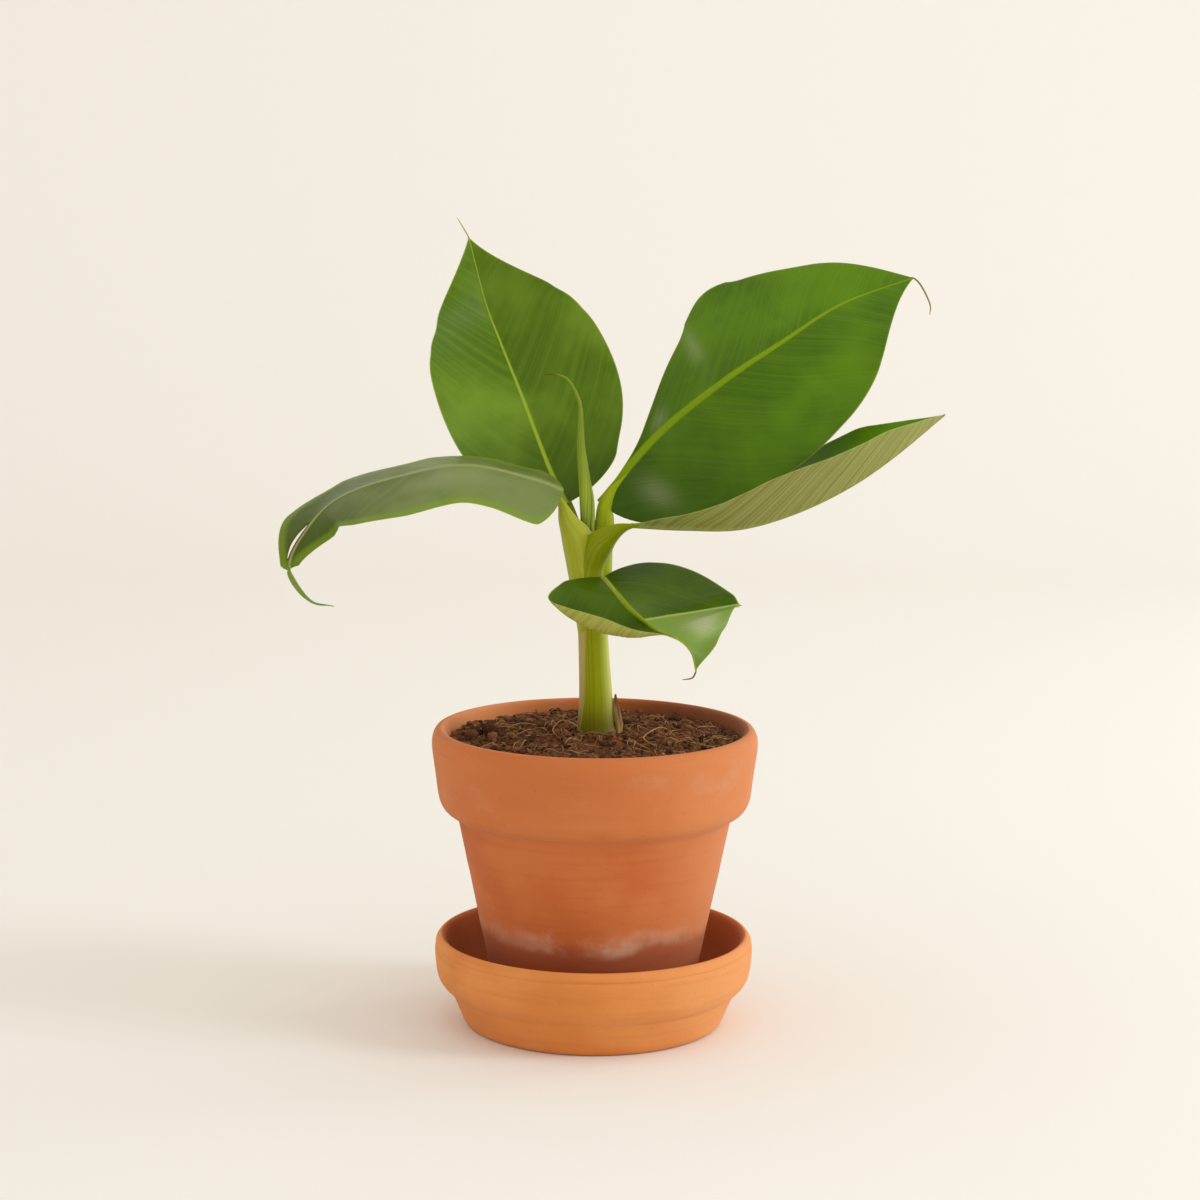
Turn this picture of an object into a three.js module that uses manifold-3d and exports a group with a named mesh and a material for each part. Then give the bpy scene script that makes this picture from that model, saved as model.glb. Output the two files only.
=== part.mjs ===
// A young banana plant in a terracotta pot that stands in its saucer.
// Millimetres, +Z up, origin at the centre of the saucer's flat underside.
// The front of the plant faces -Y, its longest leaves reach out along +X and -X.
import * as THREE from 'three';
import Module from 'manifold-3d';

// ---- driving dimensions ---------------------------------------------------------------------
const CLEAR = 0.3; // gap between neighbouring pieces
const ROUND = 48; // facets round the pot and saucer

const SAUCER_FOOT_R = 54;
const SAUCER_WALL_R = 61.8; // just under the rim band
const SAUCER_BAND_R = 68.5;
const SAUCER_BAND_Z = 15.5; // underside of the rim band
const SAUCER_TOP_Z = 39;
const SAUCER_INNER_R = 63.8;
const SAUCER_FLOOR_Z = 7.5;

const POT_BOTTOM_Z = SAUCER_FLOOR_Z + CLEAR;
const POT_BOTTOM_R = 41.8;
const POT_NECK_R = 58.6; // under the rim band
const POT_BAND_Z = 93.3; // lower edge of the rim band
const POT_BAND_R = 67.2;
const POT_RIM_R = 69.8;
const POT_TOP_Z = 129.3;
const POT_INNER_R = 63.8;
const POT_FLOOR = 6.5;

const SOIL_WALL_Z = 123.5; // soil level at the pot wall
const SOIL_STEM_Z = 126.6; // soil level at the stem
const SOIL_MOUND_R = 13; // level ground about the stem
const SOIL_SLOPE_R = 24;
const SOIL_DIP_R = 45;
const SOIL_WALL_GAP = CLEAR + 0.1;

const STEM_FOOT_Z = SOIL_STEM_Z + CLEAR;
const STEM_TOP_Z = 200;
const LIMB_SIDES = 12;

const BLADE_THICKNESS = 1.8; // at the margin
const RIB_THICKNESS = 1.1; // added under the midrib
const BLADE_ROWS = 22; // steps along a blade
const HALF_COLUMNS = 4; // steps from midrib to margin
const BASE_ROUNDING = 0.12; // share of the length that rounds the base
const TIP_FULLNESS = 0.9; // 1 draws a tip out, 0 would round it
const BASE_LEAST_HALF = 1.6; // half-width that a blade keeps at its stalk
const TIP_LEAST_HALF = 0.9;
const TAIL_FROM = 0.985; // share of the midrib at which the dry tail begins
const TAIL_R = 0.8;

// ---- the plant: limbs as [x, y, z, radius], leaves as half-widths and fold angles -----------
const STEM = [
  [0.4, 0, STEM_FOOT_Z, 8.7], [0.2, 0, 134, 7.8], [0.1, 0, 144, 7.2], [-0.9, 0, 164, 6.6],
  [-1.8, 0, 180, 6.8], [-3.0, 0, 192, 7.5], [-3.2, 0, STEM_TOP_Z, 8.8],
];
const SHEATH_STUB = [
  [10.1, -1, STEM_FOOT_Z, 1.4], [9.8, -1, 132, 1.4], [9.1, -1, 138, 1.1], [8.6, -1, 143.5, 0.5],
];
const STALK_FOOT_Z = STEM_TOP_Z + CLEAR;

// Each leaf: stalk limb, midrib points and facing side. For each half, at even steps from base
// to tip: its width, the angle (deg) at which it leaves the midrib, its further curl (deg) to the
// margin and, where the halves aren't square to the midrib, their sweep (deg) toward the tip.
const LEAVES = {
  front: {
    stalk: [[1.5, -8.8, 185, 1.7], [2.4, -9.4, 188.5, 2], [2.8, -9.9, 191.5, 2]],
    midrib: [[3, -10, 195], [8, -22, 191], [13, -34, 187], [18, -45, 184], [25, -52, 180], [34, -56, 176.5],
      [39, -57, 171.5], [41, -57, 163.5]],
    face: [0.3, -0.55, 1],
    left: {
      half: [14, 22, 32, 40, 44, 44, 42, 30, 21, 10, 3],
      angle: [22, 20, 13, 4, 2, 6, 20],
      curl: [0, 0],
      sweep: [-30, -27, -20, -8, 2, 12, 20, 21, 16, 6, -5],
    },
    right: {
      half: [13, 25, 37, 22, 2, 1, 1],
      angle: [4, -8, -55, -85, 30, 30, 30],
      curl: [0, 22, 105, 180, 0, 0, 0],
      sweep: [-5, -14, -18, -15, 0, 0, 0],
    },
    tipShare: 0.15,
    tail: [[39.5, -57.5, 161], [35.5, -58, 160.4]],
  },
  lower_right: {
    stalk: [[0, -4.2, STALK_FOOT_Z, 5.6], [0.6, -4.6, 204, 5.8], [3.2, -6, 208.5, 5.2],
      [7.2, -8.3, 212.5, 4.1], [11.3, -10.8, 215.5, 3], [12.9, -11.7, 216.3, 2.2]],
    midrib: [[15, -13, 218], [37, -22, 218], [60, -27, 219], [83, -29, 226], [105, -30, 237], [124, -28, 250],
      [144, -22, 266]],
    face: [-0.25, 0, 1],
    left: { half: [3, 8, 24, 40, 36, 26, 13], angle: [14, 8, 22, 30], curl: [4, 11] },
    right: { half: [2, 10, 22, 31, 30, 25, 17], angle: [40, 40, 34, 34], curl: [3, 3] },
    tipShare: 0.2,
    tail: null,
  },
  left: {
    stalk: [[-7.3, -1.5, STALK_FOOT_Z, 4.6], [-9.2, -2, 206.6, 4.4], [-11.5, -2, 214.6, 3.8],
      [-13.8, -1.5, 221, 2.8], [-14.2, -1, 226.4, 2.2], [-13.8, -0.9, 228.1, 2]],
    midrib: [[-14, -1, 231], [-27, -3, 236], [-55, -7, 242], [-83, -8, 237], [-106, -8, 229],
      [-119, -10, 218], [-128, -20, 201], [-120, -17, 186], [-110, -16, 183]],
    face: [0, 0, 1],
    left: { half: [26, 27, 25, 30, 28, 16, 4, 3, 2], angle: [-38, -25, -15, -30], curl: [-10, -3] },
    right: { half: [11, 13, 15, 22, 24, 18, 4, 3, 2], angle: [18, 6, 8, -14], curl: [4, -2] },
    tipShare: 0.2,
    tail: null,
    bend: 0.6, // where it turns down, and the blade is made in two
  },
  right: {
    stalk: [[1.6, 3.6, STALK_FOOT_Z, 4.4], [1.5, 4, 208, 4], [1.9, 4.6, 216, 3.2],
      [1.2, 6.4, 222.4, 2.4]],
    midrib: [[1, 7, 225], [26, 8, 254], [53, 3, 277], [77, 6, 293], [103, 14, 309], [134, 21, 320]],
    face: [-0.4, -0.8, 0.5],
    left: { half: [0, 6, 32, 47, 41, 24, 17], angle: [5, -6, -2, 2], curl: [-4, -5] },
    right: { half: [32, 40, 48, 49, 44, 31, 11], angle: [-2, -14, -4, 12], curl: [-10, -2] },
    tipShare: 0.2,
    tail: [[137.5, 21, 316.5], [141.2, 20.5, 309], [141.2, 20.5, 304.5]],
  },
  back: {
    stalk: [[-5, 5.4, STALK_FOOT_Z, 3.6], [-7.5, 6.6, 208, 3.2], [-10.5, 7.9, 216, 2.8],
      [-12.2, 8.7, 221, 2.2]],
    midrib: [[-13, 9, 224], [-21, 23, 239], [-32, 34, 266], [-42, 46, 289], [-49, 50, 307], [-56, 44, 335]],
    face: [0, -1, 0.5],
    left: { half: [16, 29, 39, 40, 34, 25, 11], angle: [10, 18, 24, 22], curl: [8, 14] },
    right: { half: [22, 32, 42, 42, 36, 27, 9], angle: [6, 14, 14, 14], curl: [0, 4] },
    tipShare: 0.2,
    tail: [[-58.5, 43, 339.5], [-61, 42.5, 343.5]],
  },
};
// the slit that is torn beside the midrib near the tip of the left leaf, from one share of the
// length to another
const TEAR = { from: 0.63, to: 0.735, narrow: 0.3, widen: 1.5, offset: 1.2, depth: 6, rings: 6 };

const SPEAR = [
  [-4.2, 1.2, STALK_FOOT_Z, 2.6], [-3.8, 1.2, 214, 2.9], [-4.3, 1.2, 226, 3], [-5.3, 1.3, 234.5, 2.4],
  [-6.6, 1.4, 247, 1.9], [-6.9, 1.4, 257, 1.4], [-7.1, 1.4, 266, 0.9], [-9.2, 1.4, 272.5, 0.75],
  [-12.8, 1.4, 277.8, 0.75], [-17.5, 1.4, 279.6, 0.7], [-22, 1.4, 279.7, 0.6],
];

const COLOURS = {
  terracotta: 0xc4703f, saucer: 0xd0854b, soil: 0x3a2a1e, stem: 0x8d9a2c, stalk: 0x9cab35,
  sheath: 0x6b4f33, blade: 0x4a7a26, palerBlade: 0x6f8a4c, spear: 0xa9b83a,
};

// ---- helpers --------------------------------------------------------------------------------
const wasm = await Module();
wasm.setup();

// value at t (0 to 1) of a smooth line through evenly spaced numbers
function along(values, t) {
  const last = values.length - 1;
  const place = Math.min(Math.max(t, 0), 1) * last;
  const i = Math.min(Math.floor(place), last - 1);
  const f = place - i;
  const b = values[i];
  const c = values[i + 1];
  const a = i > 0 ? values[i - 1] : 2 * b - c;
  const d = i < last - 1 ? values[i + 2] : 2 * c - b;
  const square = (2 * a - 5 * b + 4 * c - d) * f * f;
  const cube = (3 * b - a - 3 * c + d) * f * f * f;
  return 0.5 * (2 * b + (c - a) * f + square + cube);
}

function pointAlong(points, t) {
  const axis = (k) => along(points.map((p) => p[k]), t);
  return new THREE.Vector3(axis(0), axis(1), axis(2));
}

function tangentAlong(points, t) {
  const step = 0.004;
  const ahead = pointAlong(points, Math.min(t + step, 1));
  return ahead.sub(pointAlong(points, Math.max(t - step, 0))).normalize();
}

// closed geometry from shared vertices and faces, turned the right way out
function closedGeometry(vertices, faces) {
  const corner = new THREE.Vector3();
  let volume = 0;
  for (const [a, b, c] of faces) volume += vertices[a].dot(corner.crossVectors(vertices[b], vertices[c]));
  const ordered = volume < 0 ? faces.map(([a, b, c]) => [a, c, b]) : faces;
  const geometry = new THREE.BufferGeometry();
  const numbers = vertices.flatMap((v) => v.toArray());
  geometry.setAttribute('position', new THREE.Float32BufferAttribute(numbers, 3));
  geometry.setIndex(ordered.flat());
  geometry.computeVertexNormals();
  return geometry;
}

function toSolid(geometry) {
  return new wasm.Manifold(new wasm.Mesh({
    numProp: 3,
    vertProperties: new Float32Array(geometry.getAttribute('position').array),
    triVerts: new Uint32Array(geometry.getIndex().array),
  }));
}

function toGeometry(solid) {
  const mesh = solid.getMesh();
  const geometry = new THREE.BufferGeometry();
  geometry.setAttribute('position', new THREE.BufferAttribute(new Float32Array(mesh.vertProperties), 3));
  geometry.setIndex(Array.from(mesh.triVerts));
  geometry.computeVertexNormals();
  return geometry;
}

// the largest piece of a solid, so that a cut leaves no crumbs
function mainPiece(solid) {
  const pieces = solid.decompose();
  pieces.sort((a, b) => b.volume() - a.volume());
  return pieces[0];
}

// a round limb through [x, y, z, radius] stations, cut flat at both ends
function limb(stations, { sides = LIMB_SIDES, rings = 2 * stations.length, extra = 0, level = false } = {}) {
  const vertices = [];
  const faces = [];
  let side = new THREE.Vector3(1, 0, 0);
  for (let i = 0; i <= rings; i++) {
    const t = i / rings;
    const centre = pointAlong(stations, t);
    const radius = along(stations.map((s) => s[3]), t) + extra;
    const atEnd = i === 0 || i === rings;
    const ahead = level && atEnd ? new THREE.Vector3(0, 0, 1) : tangentAlong(stations, t);
    side = side.clone().addScaledVector(ahead, -side.dot(ahead)).normalize();
    const across = new THREE.Vector3().crossVectors(ahead, side);
    for (let k = 0; k < sides; k++) {
      const turn = (2 * Math.PI * k) / sides;
      vertices.push(centre.clone().addScaledVector(side, radius * Math.cos(turn))
        .addScaledVector(across, radius * Math.sin(turn)));
    }
  }
  for (let i = 0; i < rings; i++) {
    for (let k = 0; k < sides; k++) {
      const next = (k + 1) % sides;
      const [a, b] = [i * sides + k, i * sides + next];
      faces.push([a, b, b + sides], [a, b + sides, a + sides]);
    }
  }
  for (let k = 1; k < sides - 1; k++) {
    faces.push([0, k + 1, k]);
    faces.push([rings * sides, rings * sides + k, rings * sides + k + 1]);
  }
  return closedGeometry(vertices, faces);
}

// half-width of a blade: a smooth table with a rounded base and a drawn-out tip
function halfWidth(side, t, tipShare) {
  const base = Math.sqrt(1 - (1 - Math.min(t / BASE_ROUNDING, 1)) ** 2);
  const tip = Math.sin((Math.PI / 2) * Math.min((1 - t) / tipShare, 1)) ** TIP_FULLNESS;
  const least = t < 0.5 ? BASE_LEAST_HALF : TIP_LEAST_HALF;
  return Math.max(along(side.half, t) * base * tip, least);
}

// the points across a blade at t, from the left margin over the midrib to the right margin
function bladeRow(leaf, t) {
  const rib = pointAlong(leaf.midrib, t);
  const ahead = tangentAlong(leaf.midrib, t);
  const right = new THREE.Vector3().crossVectors(ahead, new THREE.Vector3(...leaf.face)).normalize();
  const up = new THREE.Vector3().crossVectors(right, ahead);
  const row = [rib];
  for (const [side, sign] of [[leaf.left, -1], [leaf.right, 1]]) {
    const step = halfWidth(side, t, leaf.tipShare) / HALF_COLUMNS;
    const start = THREE.MathUtils.degToRad(along(side.angle, t));
    const curl = THREE.MathUtils.degToRad(along(side.curl, t));
    const sweep = THREE.MathUtils.degToRad(side.sweep ? along(side.sweep, t) : 0);
    const reach = step * Math.cos(sweep);
    const point = rib.clone();
    for (let j = 0; j < HALF_COLUMNS; j++) {
      const angle = start + (curl * (j + 0.5)) / HALF_COLUMNS;
      point.addScaledVector(right, sign * reach * Math.cos(angle));
      point.addScaledVector(up, reach * Math.sin(angle));
      point.addScaledVector(ahead, step * Math.sin(sweep));
      if (sign < 0) row.unshift(point.clone());
      else row.push(point.clone());
    }
  }
  return row;
}

// a thin closed blade about the leaf's surface, thicker at the midrib
function blade(leaf) {
  const columns = 2 * HALF_COLUMNS + 1;
  const grid = [];
  for (let i = 0; i <= BLADE_ROWS; i++) grid.push(bladeRow(leaf, i / BLADE_ROWS));
  const upper = [];
  const lower = [];
  for (let i = 0; i <= BLADE_ROWS; i++) {
    for (let j = 0; j < columns; j++) {
      const along1 = grid[Math.min(i + 1, BLADE_ROWS)][j].clone().sub(grid[Math.max(i - 1, 0)][j]);
      const across = grid[i][Math.min(j + 1, columns - 1)].clone().sub(grid[i][Math.max(j - 1, 0)]);
      const normal = across.cross(along1).normalize();
      const nearRib = 1 - Math.abs(j - HALF_COLUMNS) / HALF_COLUMNS;
      const thickness = BLADE_THICKNESS + RIB_THICKNESS * nearRib ** 5;
      upper.push(grid[i][j].clone().addScaledVector(normal, thickness / 2));
      lower.push(grid[i][j].clone().addScaledVector(normal, -thickness / 2));
    }
  }
  const vertices = [...upper, ...lower];
  const faces = [];
  const under = upper.length;
  const quad = (a, b, c, d) => faces.push([a, b, c], [a, c, d]);
  for (let i = 0; i < BLADE_ROWS; i++) {
    for (let j = 0; j < columns - 1; j++) {
      const a = i * columns + j;
      const d = a + columns;
      quad(a, a + 1, d + 1, d);
      quad(under + d, under + d + 1, under + a + 1, under + a);
    }
    const leftEdge = i * columns;
    const rightEdge = leftEdge + columns - 1;
    quad(leftEdge, leftEdge + columns, under + leftEdge + columns, under + leftEdge);
    quad(rightEdge + columns, rightEdge, under + rightEdge, under + rightEdge + columns);
  }
  const tipRow = BLADE_ROWS * columns;
  for (let j = 0; j < columns - 1; j++) {
    quad(j + 1, j, under + j, under + j + 1);
    quad(tipRow + j, tipRow + j + 1, under + tipRow + j + 1, under + tipRow + j);
  }
  return closedGeometry(vertices, faces);
}

// the dry thread that a blade's tip ends in
function tail(leaf) {
  const start = pointAlong(leaf.midrib, TAIL_FROM);
  const stations = [start.toArray(), leaf.midrib.at(-1), ...leaf.tail].map((p) => [...p, TAIL_R]);
  return limb(stations, { sides: 6, rings: 8 });
}

// the slot that a tear opens beside the midrib
function tearCutter(leaf) {
  const { rings, offset, depth } = TEAR;
  const vertices = [];
  const faces = [];
  for (let i = 0; i <= rings; i++) {
    const t = TEAR.from + ((TEAR.to - TEAR.from) * i) / rings;
    const rib = pointAlong(leaf.midrib, t);
    const ahead = tangentAlong(leaf.midrib, t);
    const right = new THREE.Vector3().crossVectors(ahead, new THREE.Vector3(...leaf.face)).normalize();
    const up = new THREE.Vector3().crossVectors(right, ahead);
    const far = offset + TEAR.narrow + TEAR.widen * Math.sin((Math.PI * i) / rings);
    for (const [s, h] of [[offset, -depth], [far, -depth], [far, depth], [offset, depth]]) {
      vertices.push(rib.clone().addScaledVector(right, s).addScaledVector(up, h));
    }
  }
  for (let i = 0; i < rings; i++) {
    for (let k = 0; k < 4; k++) {
      const [a, b] = [i * 4 + k, i * 4 + ((k + 1) % 4)];
      faces.push([a, b, b + 4], [a, b + 4, a + 4]);
    }
  }
  const end = rings * 4;
  faces.push([0, 2, 1], [0, 3, 2], [end, end + 1, end + 2], [end, end + 2, end + 3]);
  return closedGeometry(vertices, faces);
}

function lathe(profile) {
  const geometry = new THREE.LatheGeometry(profile.map(([r, z]) => new THREE.Vector2(r, z)), ROUND);
  return geometry.rotateX(Math.PI / 2);
}

// ---- assembly -------------------------------------------------------------------------------
const plant = new THREE.Group();

function add(name, geometry, color, roughness) {
  const mesh = new THREE.Mesh(geometry, new THREE.MeshStandardMaterial({ color, roughness, metalness: 0 }));
  mesh.name = name;
  plant.add(mesh);
}

add('saucer', lathe([
  [0, 0], [SAUCER_FOOT_R, 0], [SAUCER_FOOT_R + 1.8, 1.2], [SAUCER_FOOT_R + 4.2, 7],
  [SAUCER_WALL_R - 0.3, SAUCER_BAND_Z - 0.8], [SAUCER_WALL_R + 0.8, SAUCER_BAND_Z],
  [SAUCER_BAND_R - 3.4, SAUCER_BAND_Z + 2], [SAUCER_BAND_R - 1.4, SAUCER_BAND_Z + 5],
  [SAUCER_BAND_R - 0.5, SAUCER_BAND_Z + 10], [SAUCER_BAND_R, SAUCER_TOP_Z - 7],
  [SAUCER_BAND_R - 0.5, SAUCER_TOP_Z - 2.4], [SAUCER_BAND_R - 2, SAUCER_TOP_Z - 0.4],
  [SAUCER_INNER_R + 1.4, SAUCER_TOP_Z - 0.2], [SAUCER_INNER_R, SAUCER_TOP_Z - 1.6],
  [SAUCER_INNER_R - 2.4, 22], [SAUCER_INNER_R - 6.6, 11], [SAUCER_INNER_R - 9.6, SAUCER_FLOOR_Z],
  [0, SAUCER_FLOOR_Z],
]), COLOURS.saucer, 0.85);

const potInside = [
  [POT_INNER_R, POT_TOP_Z - 1.2], [POT_INNER_R - 1, POT_TOP_Z - 9], [POT_NECK_R - 4.6, POT_BAND_Z - 5],
  [POT_BOTTOM_R - 3, POT_BOTTOM_Z + POT_FLOOR + 2], [POT_BOTTOM_R - 5, POT_BOTTOM_Z + POT_FLOOR],
];
add('pot', lathe([
  [0, POT_BOTTOM_Z], [POT_BOTTOM_R - 1.2, POT_BOTTOM_Z], [POT_BOTTOM_R, POT_BOTTOM_Z + 1.2],
  [POT_NECK_R, POT_BAND_Z - 3], [POT_NECK_R + 2.4, POT_BAND_Z - 0.8], [POT_BAND_R - 2.6, POT_BAND_Z + 1],
  [POT_BAND_R - 0.4, POT_BAND_Z + 5.4], [POT_BAND_R + 0.9, POT_BAND_Z + 16], [POT_RIM_R, POT_TOP_Z - 7.5],
  [POT_RIM_R - 0.4, POT_TOP_Z - 3.4], [POT_RIM_R - 1.8, POT_TOP_Z - 0.6], [POT_INNER_R + 2, POT_TOP_Z],
  ...potInside, [0, POT_BOTTOM_Z + POT_FLOOR],
]), COLOURS.terracotta, 0.85);

// the soil fills the pot clear of its wall and rises gently to the stem
const soilWall = potInside.slice(1).map(([r, z]) => [r - SOIL_WALL_GAP, z + CLEAR]);
add('soil', lathe([
  [0, SOIL_STEM_Z], [SOIL_MOUND_R, SOIL_STEM_Z], [SOIL_SLOPE_R, SOIL_STEM_Z - 0.8],
  [SOIL_DIP_R, SOIL_WALL_Z + 0.9], [POT_INNER_R - 1.9, SOIL_WALL_Z],
  ...soilWall, [0, POT_BOTTOM_Z + POT_FLOOR + CLEAR],
].reverse()), COLOURS.soil, 1);

add('pseudostem', limb(STEM, { sides: 20, level: true }), COLOURS.stem, 0.5);
const stub = toSolid(limb(SHEATH_STUB, { sides: 10, rings: 6, level: true }))
  .subtract(toSolid(limb(STEM, { sides: 20, extra: CLEAR, level: true })));
add('sheath_stub', toGeometry(mainPiece(stub)), COLOURS.sheath, 0.9);

// stalks and the rolled leaf stand close together: each is cut clear of the ones before it
const standing = [];
function addStanding(name, stations, color, roughness) {
  let solid = toSolid(limb(stations, { level: stations[0][2] === STALK_FOOT_Z }));
  for (const other of standing) solid = solid.subtract(other);
  standing.push(toSolid(limb(stations, { extra: CLEAR, level: stations[0][2] === STALK_FOOT_Z })));
  add(name, toGeometry(mainPiece(solid)), color, roughness);
}
for (const name of ['front', 'lower_right', 'left']) {
  addStanding(`stalk_${name}`, LEAVES[name].stalk, COLOURS.stalk, 0.45);
}
addStanding('rolled_leaf', SPEAR, COLOURS.spear, 0.45);
for (const name of ['right', 'back']) addStanding(`stalk_${name}`, LEAVES[name].stalk, COLOURS.stalk, 0.45);

for (const [name, leaf] of Object.entries(LEAVES)) {
  const color = name === 'left' ? COLOURS.palerBlade : COLOURS.blade;
  let solid = toSolid(blade(leaf));
  if (leaf.tail) solid = solid.add(toSolid(tail(leaf)));
  if (name === 'left') solid = solid.subtract(toSolid(tearCutter(leaf)));
  if (leaf.bend) {
    const onward = tangentAlong(leaf.midrib, leaf.bend);
    const offset = onward.dot(pointAlong(leaf.midrib, leaf.bend));
    const tipPart = solid.trimByPlane(onward.toArray(), offset + CLEAR / 2);
    add(`leaf_${name}_tip`, toGeometry(mainPiece(tipPart)), color, 0.4);
    solid = solid.trimByPlane(onward.clone().negate().toArray(), CLEAR / 2 - offset);
  }
  add(`leaf_${name}`, toGeometry(mainPiece(solid)), color, 0.4);
}

export default plant;
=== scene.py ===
"""A young banana plant in a terracotta pot with its saucer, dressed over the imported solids.
Lengths below are in millimetres unless a name says otherwise."""
import math
import random

import bmesh
import bpy
import numpy as np
from mathutils import Matrix, Vector, noise


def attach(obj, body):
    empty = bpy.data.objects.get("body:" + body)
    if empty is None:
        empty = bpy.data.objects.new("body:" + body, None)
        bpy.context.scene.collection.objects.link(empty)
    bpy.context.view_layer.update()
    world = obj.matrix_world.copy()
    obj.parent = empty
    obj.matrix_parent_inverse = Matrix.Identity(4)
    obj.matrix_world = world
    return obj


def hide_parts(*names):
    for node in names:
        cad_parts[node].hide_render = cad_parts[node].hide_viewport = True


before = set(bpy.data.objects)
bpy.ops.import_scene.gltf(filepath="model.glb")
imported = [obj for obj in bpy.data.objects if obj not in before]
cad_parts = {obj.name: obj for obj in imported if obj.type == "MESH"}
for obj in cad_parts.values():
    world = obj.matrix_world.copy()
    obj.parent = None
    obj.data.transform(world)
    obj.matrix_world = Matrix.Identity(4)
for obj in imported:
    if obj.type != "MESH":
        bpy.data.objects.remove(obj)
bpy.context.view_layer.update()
MM = 0.001


def add_object(name, data):
    thing = bpy.data.objects.new(name, data)
    bpy.context.scene.collection.objects.link(thing)
    return thing


# ---- camera ----
CAMERA_AT_M = (0.001755, -1.2887, 0.3866)
CAMERA_DOWN, CAMERA_ROLL = 0.156, 0.007  # radians

camera_data = bpy.data.cameras.new("camera")
camera_data.sensor_fit = "HORIZONTAL"
camera_data.sensor_width = 36
camera_data.lens = 92.1
camera_data.clip_end = 30
camera = add_object("camera", camera_data)
camera.matrix_world = (
    Matrix.Translation(CAMERA_AT_M)
    @ Matrix.Rotation(math.pi / 2 - CAMERA_DOWN, 4, "X")
    @ Matrix.Rotation(CAMERA_ROLL, 4, "Z")
)
bpy.context.scene.camera = camera
bpy.context.scene.view_settings.view_transform = "Standard"


# ---- small tools ----
def srgb(r, g, b):
    """Linear colour of an 8-bit screen colour."""
    shares = (r / 255, g / 255, b / 255)
    return tuple(c / 12.92 if c <= 0.04045 else ((c + 0.055) / 1.055) ** 2.4 for c in shares)


def along(values, t):
    """Smooth line through evenly spaced values, read at t from 0 to 1 (numbers or points)."""
    v = np.asarray(values, float)
    flat = v.ndim == 1
    if flat:
        v = v[:, None]
    last = len(v) - 1
    at = np.clip(np.atleast_1d(np.asarray(t, float)), 0, 1) * last
    i = np.minimum(at.astype(int), last - 1)
    f = (at - i)[:, None]
    b, c = v[i], v[i + 1]
    a = np.where((i > 0)[:, None], v[np.maximum(i - 1, 0)], 2 * b - c)
    d = np.where((i < last - 1)[:, None], v[np.minimum(i + 2, last)], 2 * c - b)
    out = 0.5 * (2 * b + (c - a) * f + (2 * a - 5 * b + 4 * c - d) * f**2 + (3 * b - a - 3 * c + d) * f**3)
    return out[:, 0] if flat else out


def unit(v):
    return v / np.linalg.norm(v, axis=-1, keepdims=True)


def tangents(points, t, step=0.004):
    """Direction of the line through the points, taken over a small step before and after t."""
    return unit(along(points, np.minimum(t + step, 1)) - along(points, np.maximum(t - step, 0)))


def wobble(points, size, seed=0.0):
    """Smooth noise from -1 to 1 at each point, with features of the given size."""
    return np.array([noise.noise(Vector(p) / size + Vector((seed, seed * 0.7, -seed))) for p in points])


def line_noise(places, y, z):
    """Smooth noise from -1 to 1 along one number."""
    return np.array([noise.noise(Vector((x, y, z))) for x in places])


def ring_faces(rings, sides, capped=False):
    """Quads between the neighbouring rings of a tube, with a flat face at each end if capped."""
    faces = []
    for i in range(rings - 1):
        for k in range(sides):
            n = (k + 1) % sides
            faces.append((i * sides + k, i * sides + n, (i + 1) * sides + n, (i + 1) * sides + k))
    if capped:
        faces.append(tuple(range(sides - 1, -1, -1)))
        faces.append(tuple((rings - 1) * sides + k for k in range(sides)))
    return faces


def mesh_object(name, vertices, faces, attributes=None):
    """A mesh object in metres from millimetre vertices, with its faces turned outward."""
    mesh = bpy.data.meshes.new(name)
    mesh.from_pydata((np.asarray(vertices) * MM).tolist(), [], [tuple(map(int, f)) for f in faces])
    for key, values in (attributes or {}).items():
        mesh.attributes.new(key, "FLOAT", "POINT").data.foreach_set("value", np.asarray(values, np.float32))
    work = bmesh.new()
    work.from_mesh(mesh)
    bmesh.ops.recalc_face_normals(work, faces=work.faces)
    work.to_mesh(mesh)
    work.free()
    mesh.polygons.foreach_set("use_smooth", [True] * len(mesh.polygons))
    return add_object(name, mesh)


def place(piece, slot, material, *nodes):
    """Give the piece its material and let it stand in for the named nodes, if any. The slot is not used."""
    piece.data.materials.append(material)
    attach(piece, "root")
    if nodes:
        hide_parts(*nodes)


def join_parts(parts):
    """One vertex, face and attribute list from several (vertices, faces, attributes)."""
    keys = sorted({k for _, _, a in parts for k in a})
    vertices, faces, attributes, start = [], [], {k: [] for k in keys}, 0
    for v, f, a in parts:
        vertices.append(np.asarray(v, float))
        faces += [tuple(int(i) + start for i in face) for face in f]
        for k in keys:
            attributes[k].append(np.broadcast_to(np.asarray(a.get(k, 0.0), float), len(v)))
        start += len(v)
    return np.concatenate(vertices), faces, {k: np.concatenate(a) for k, a in attributes.items()}


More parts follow.
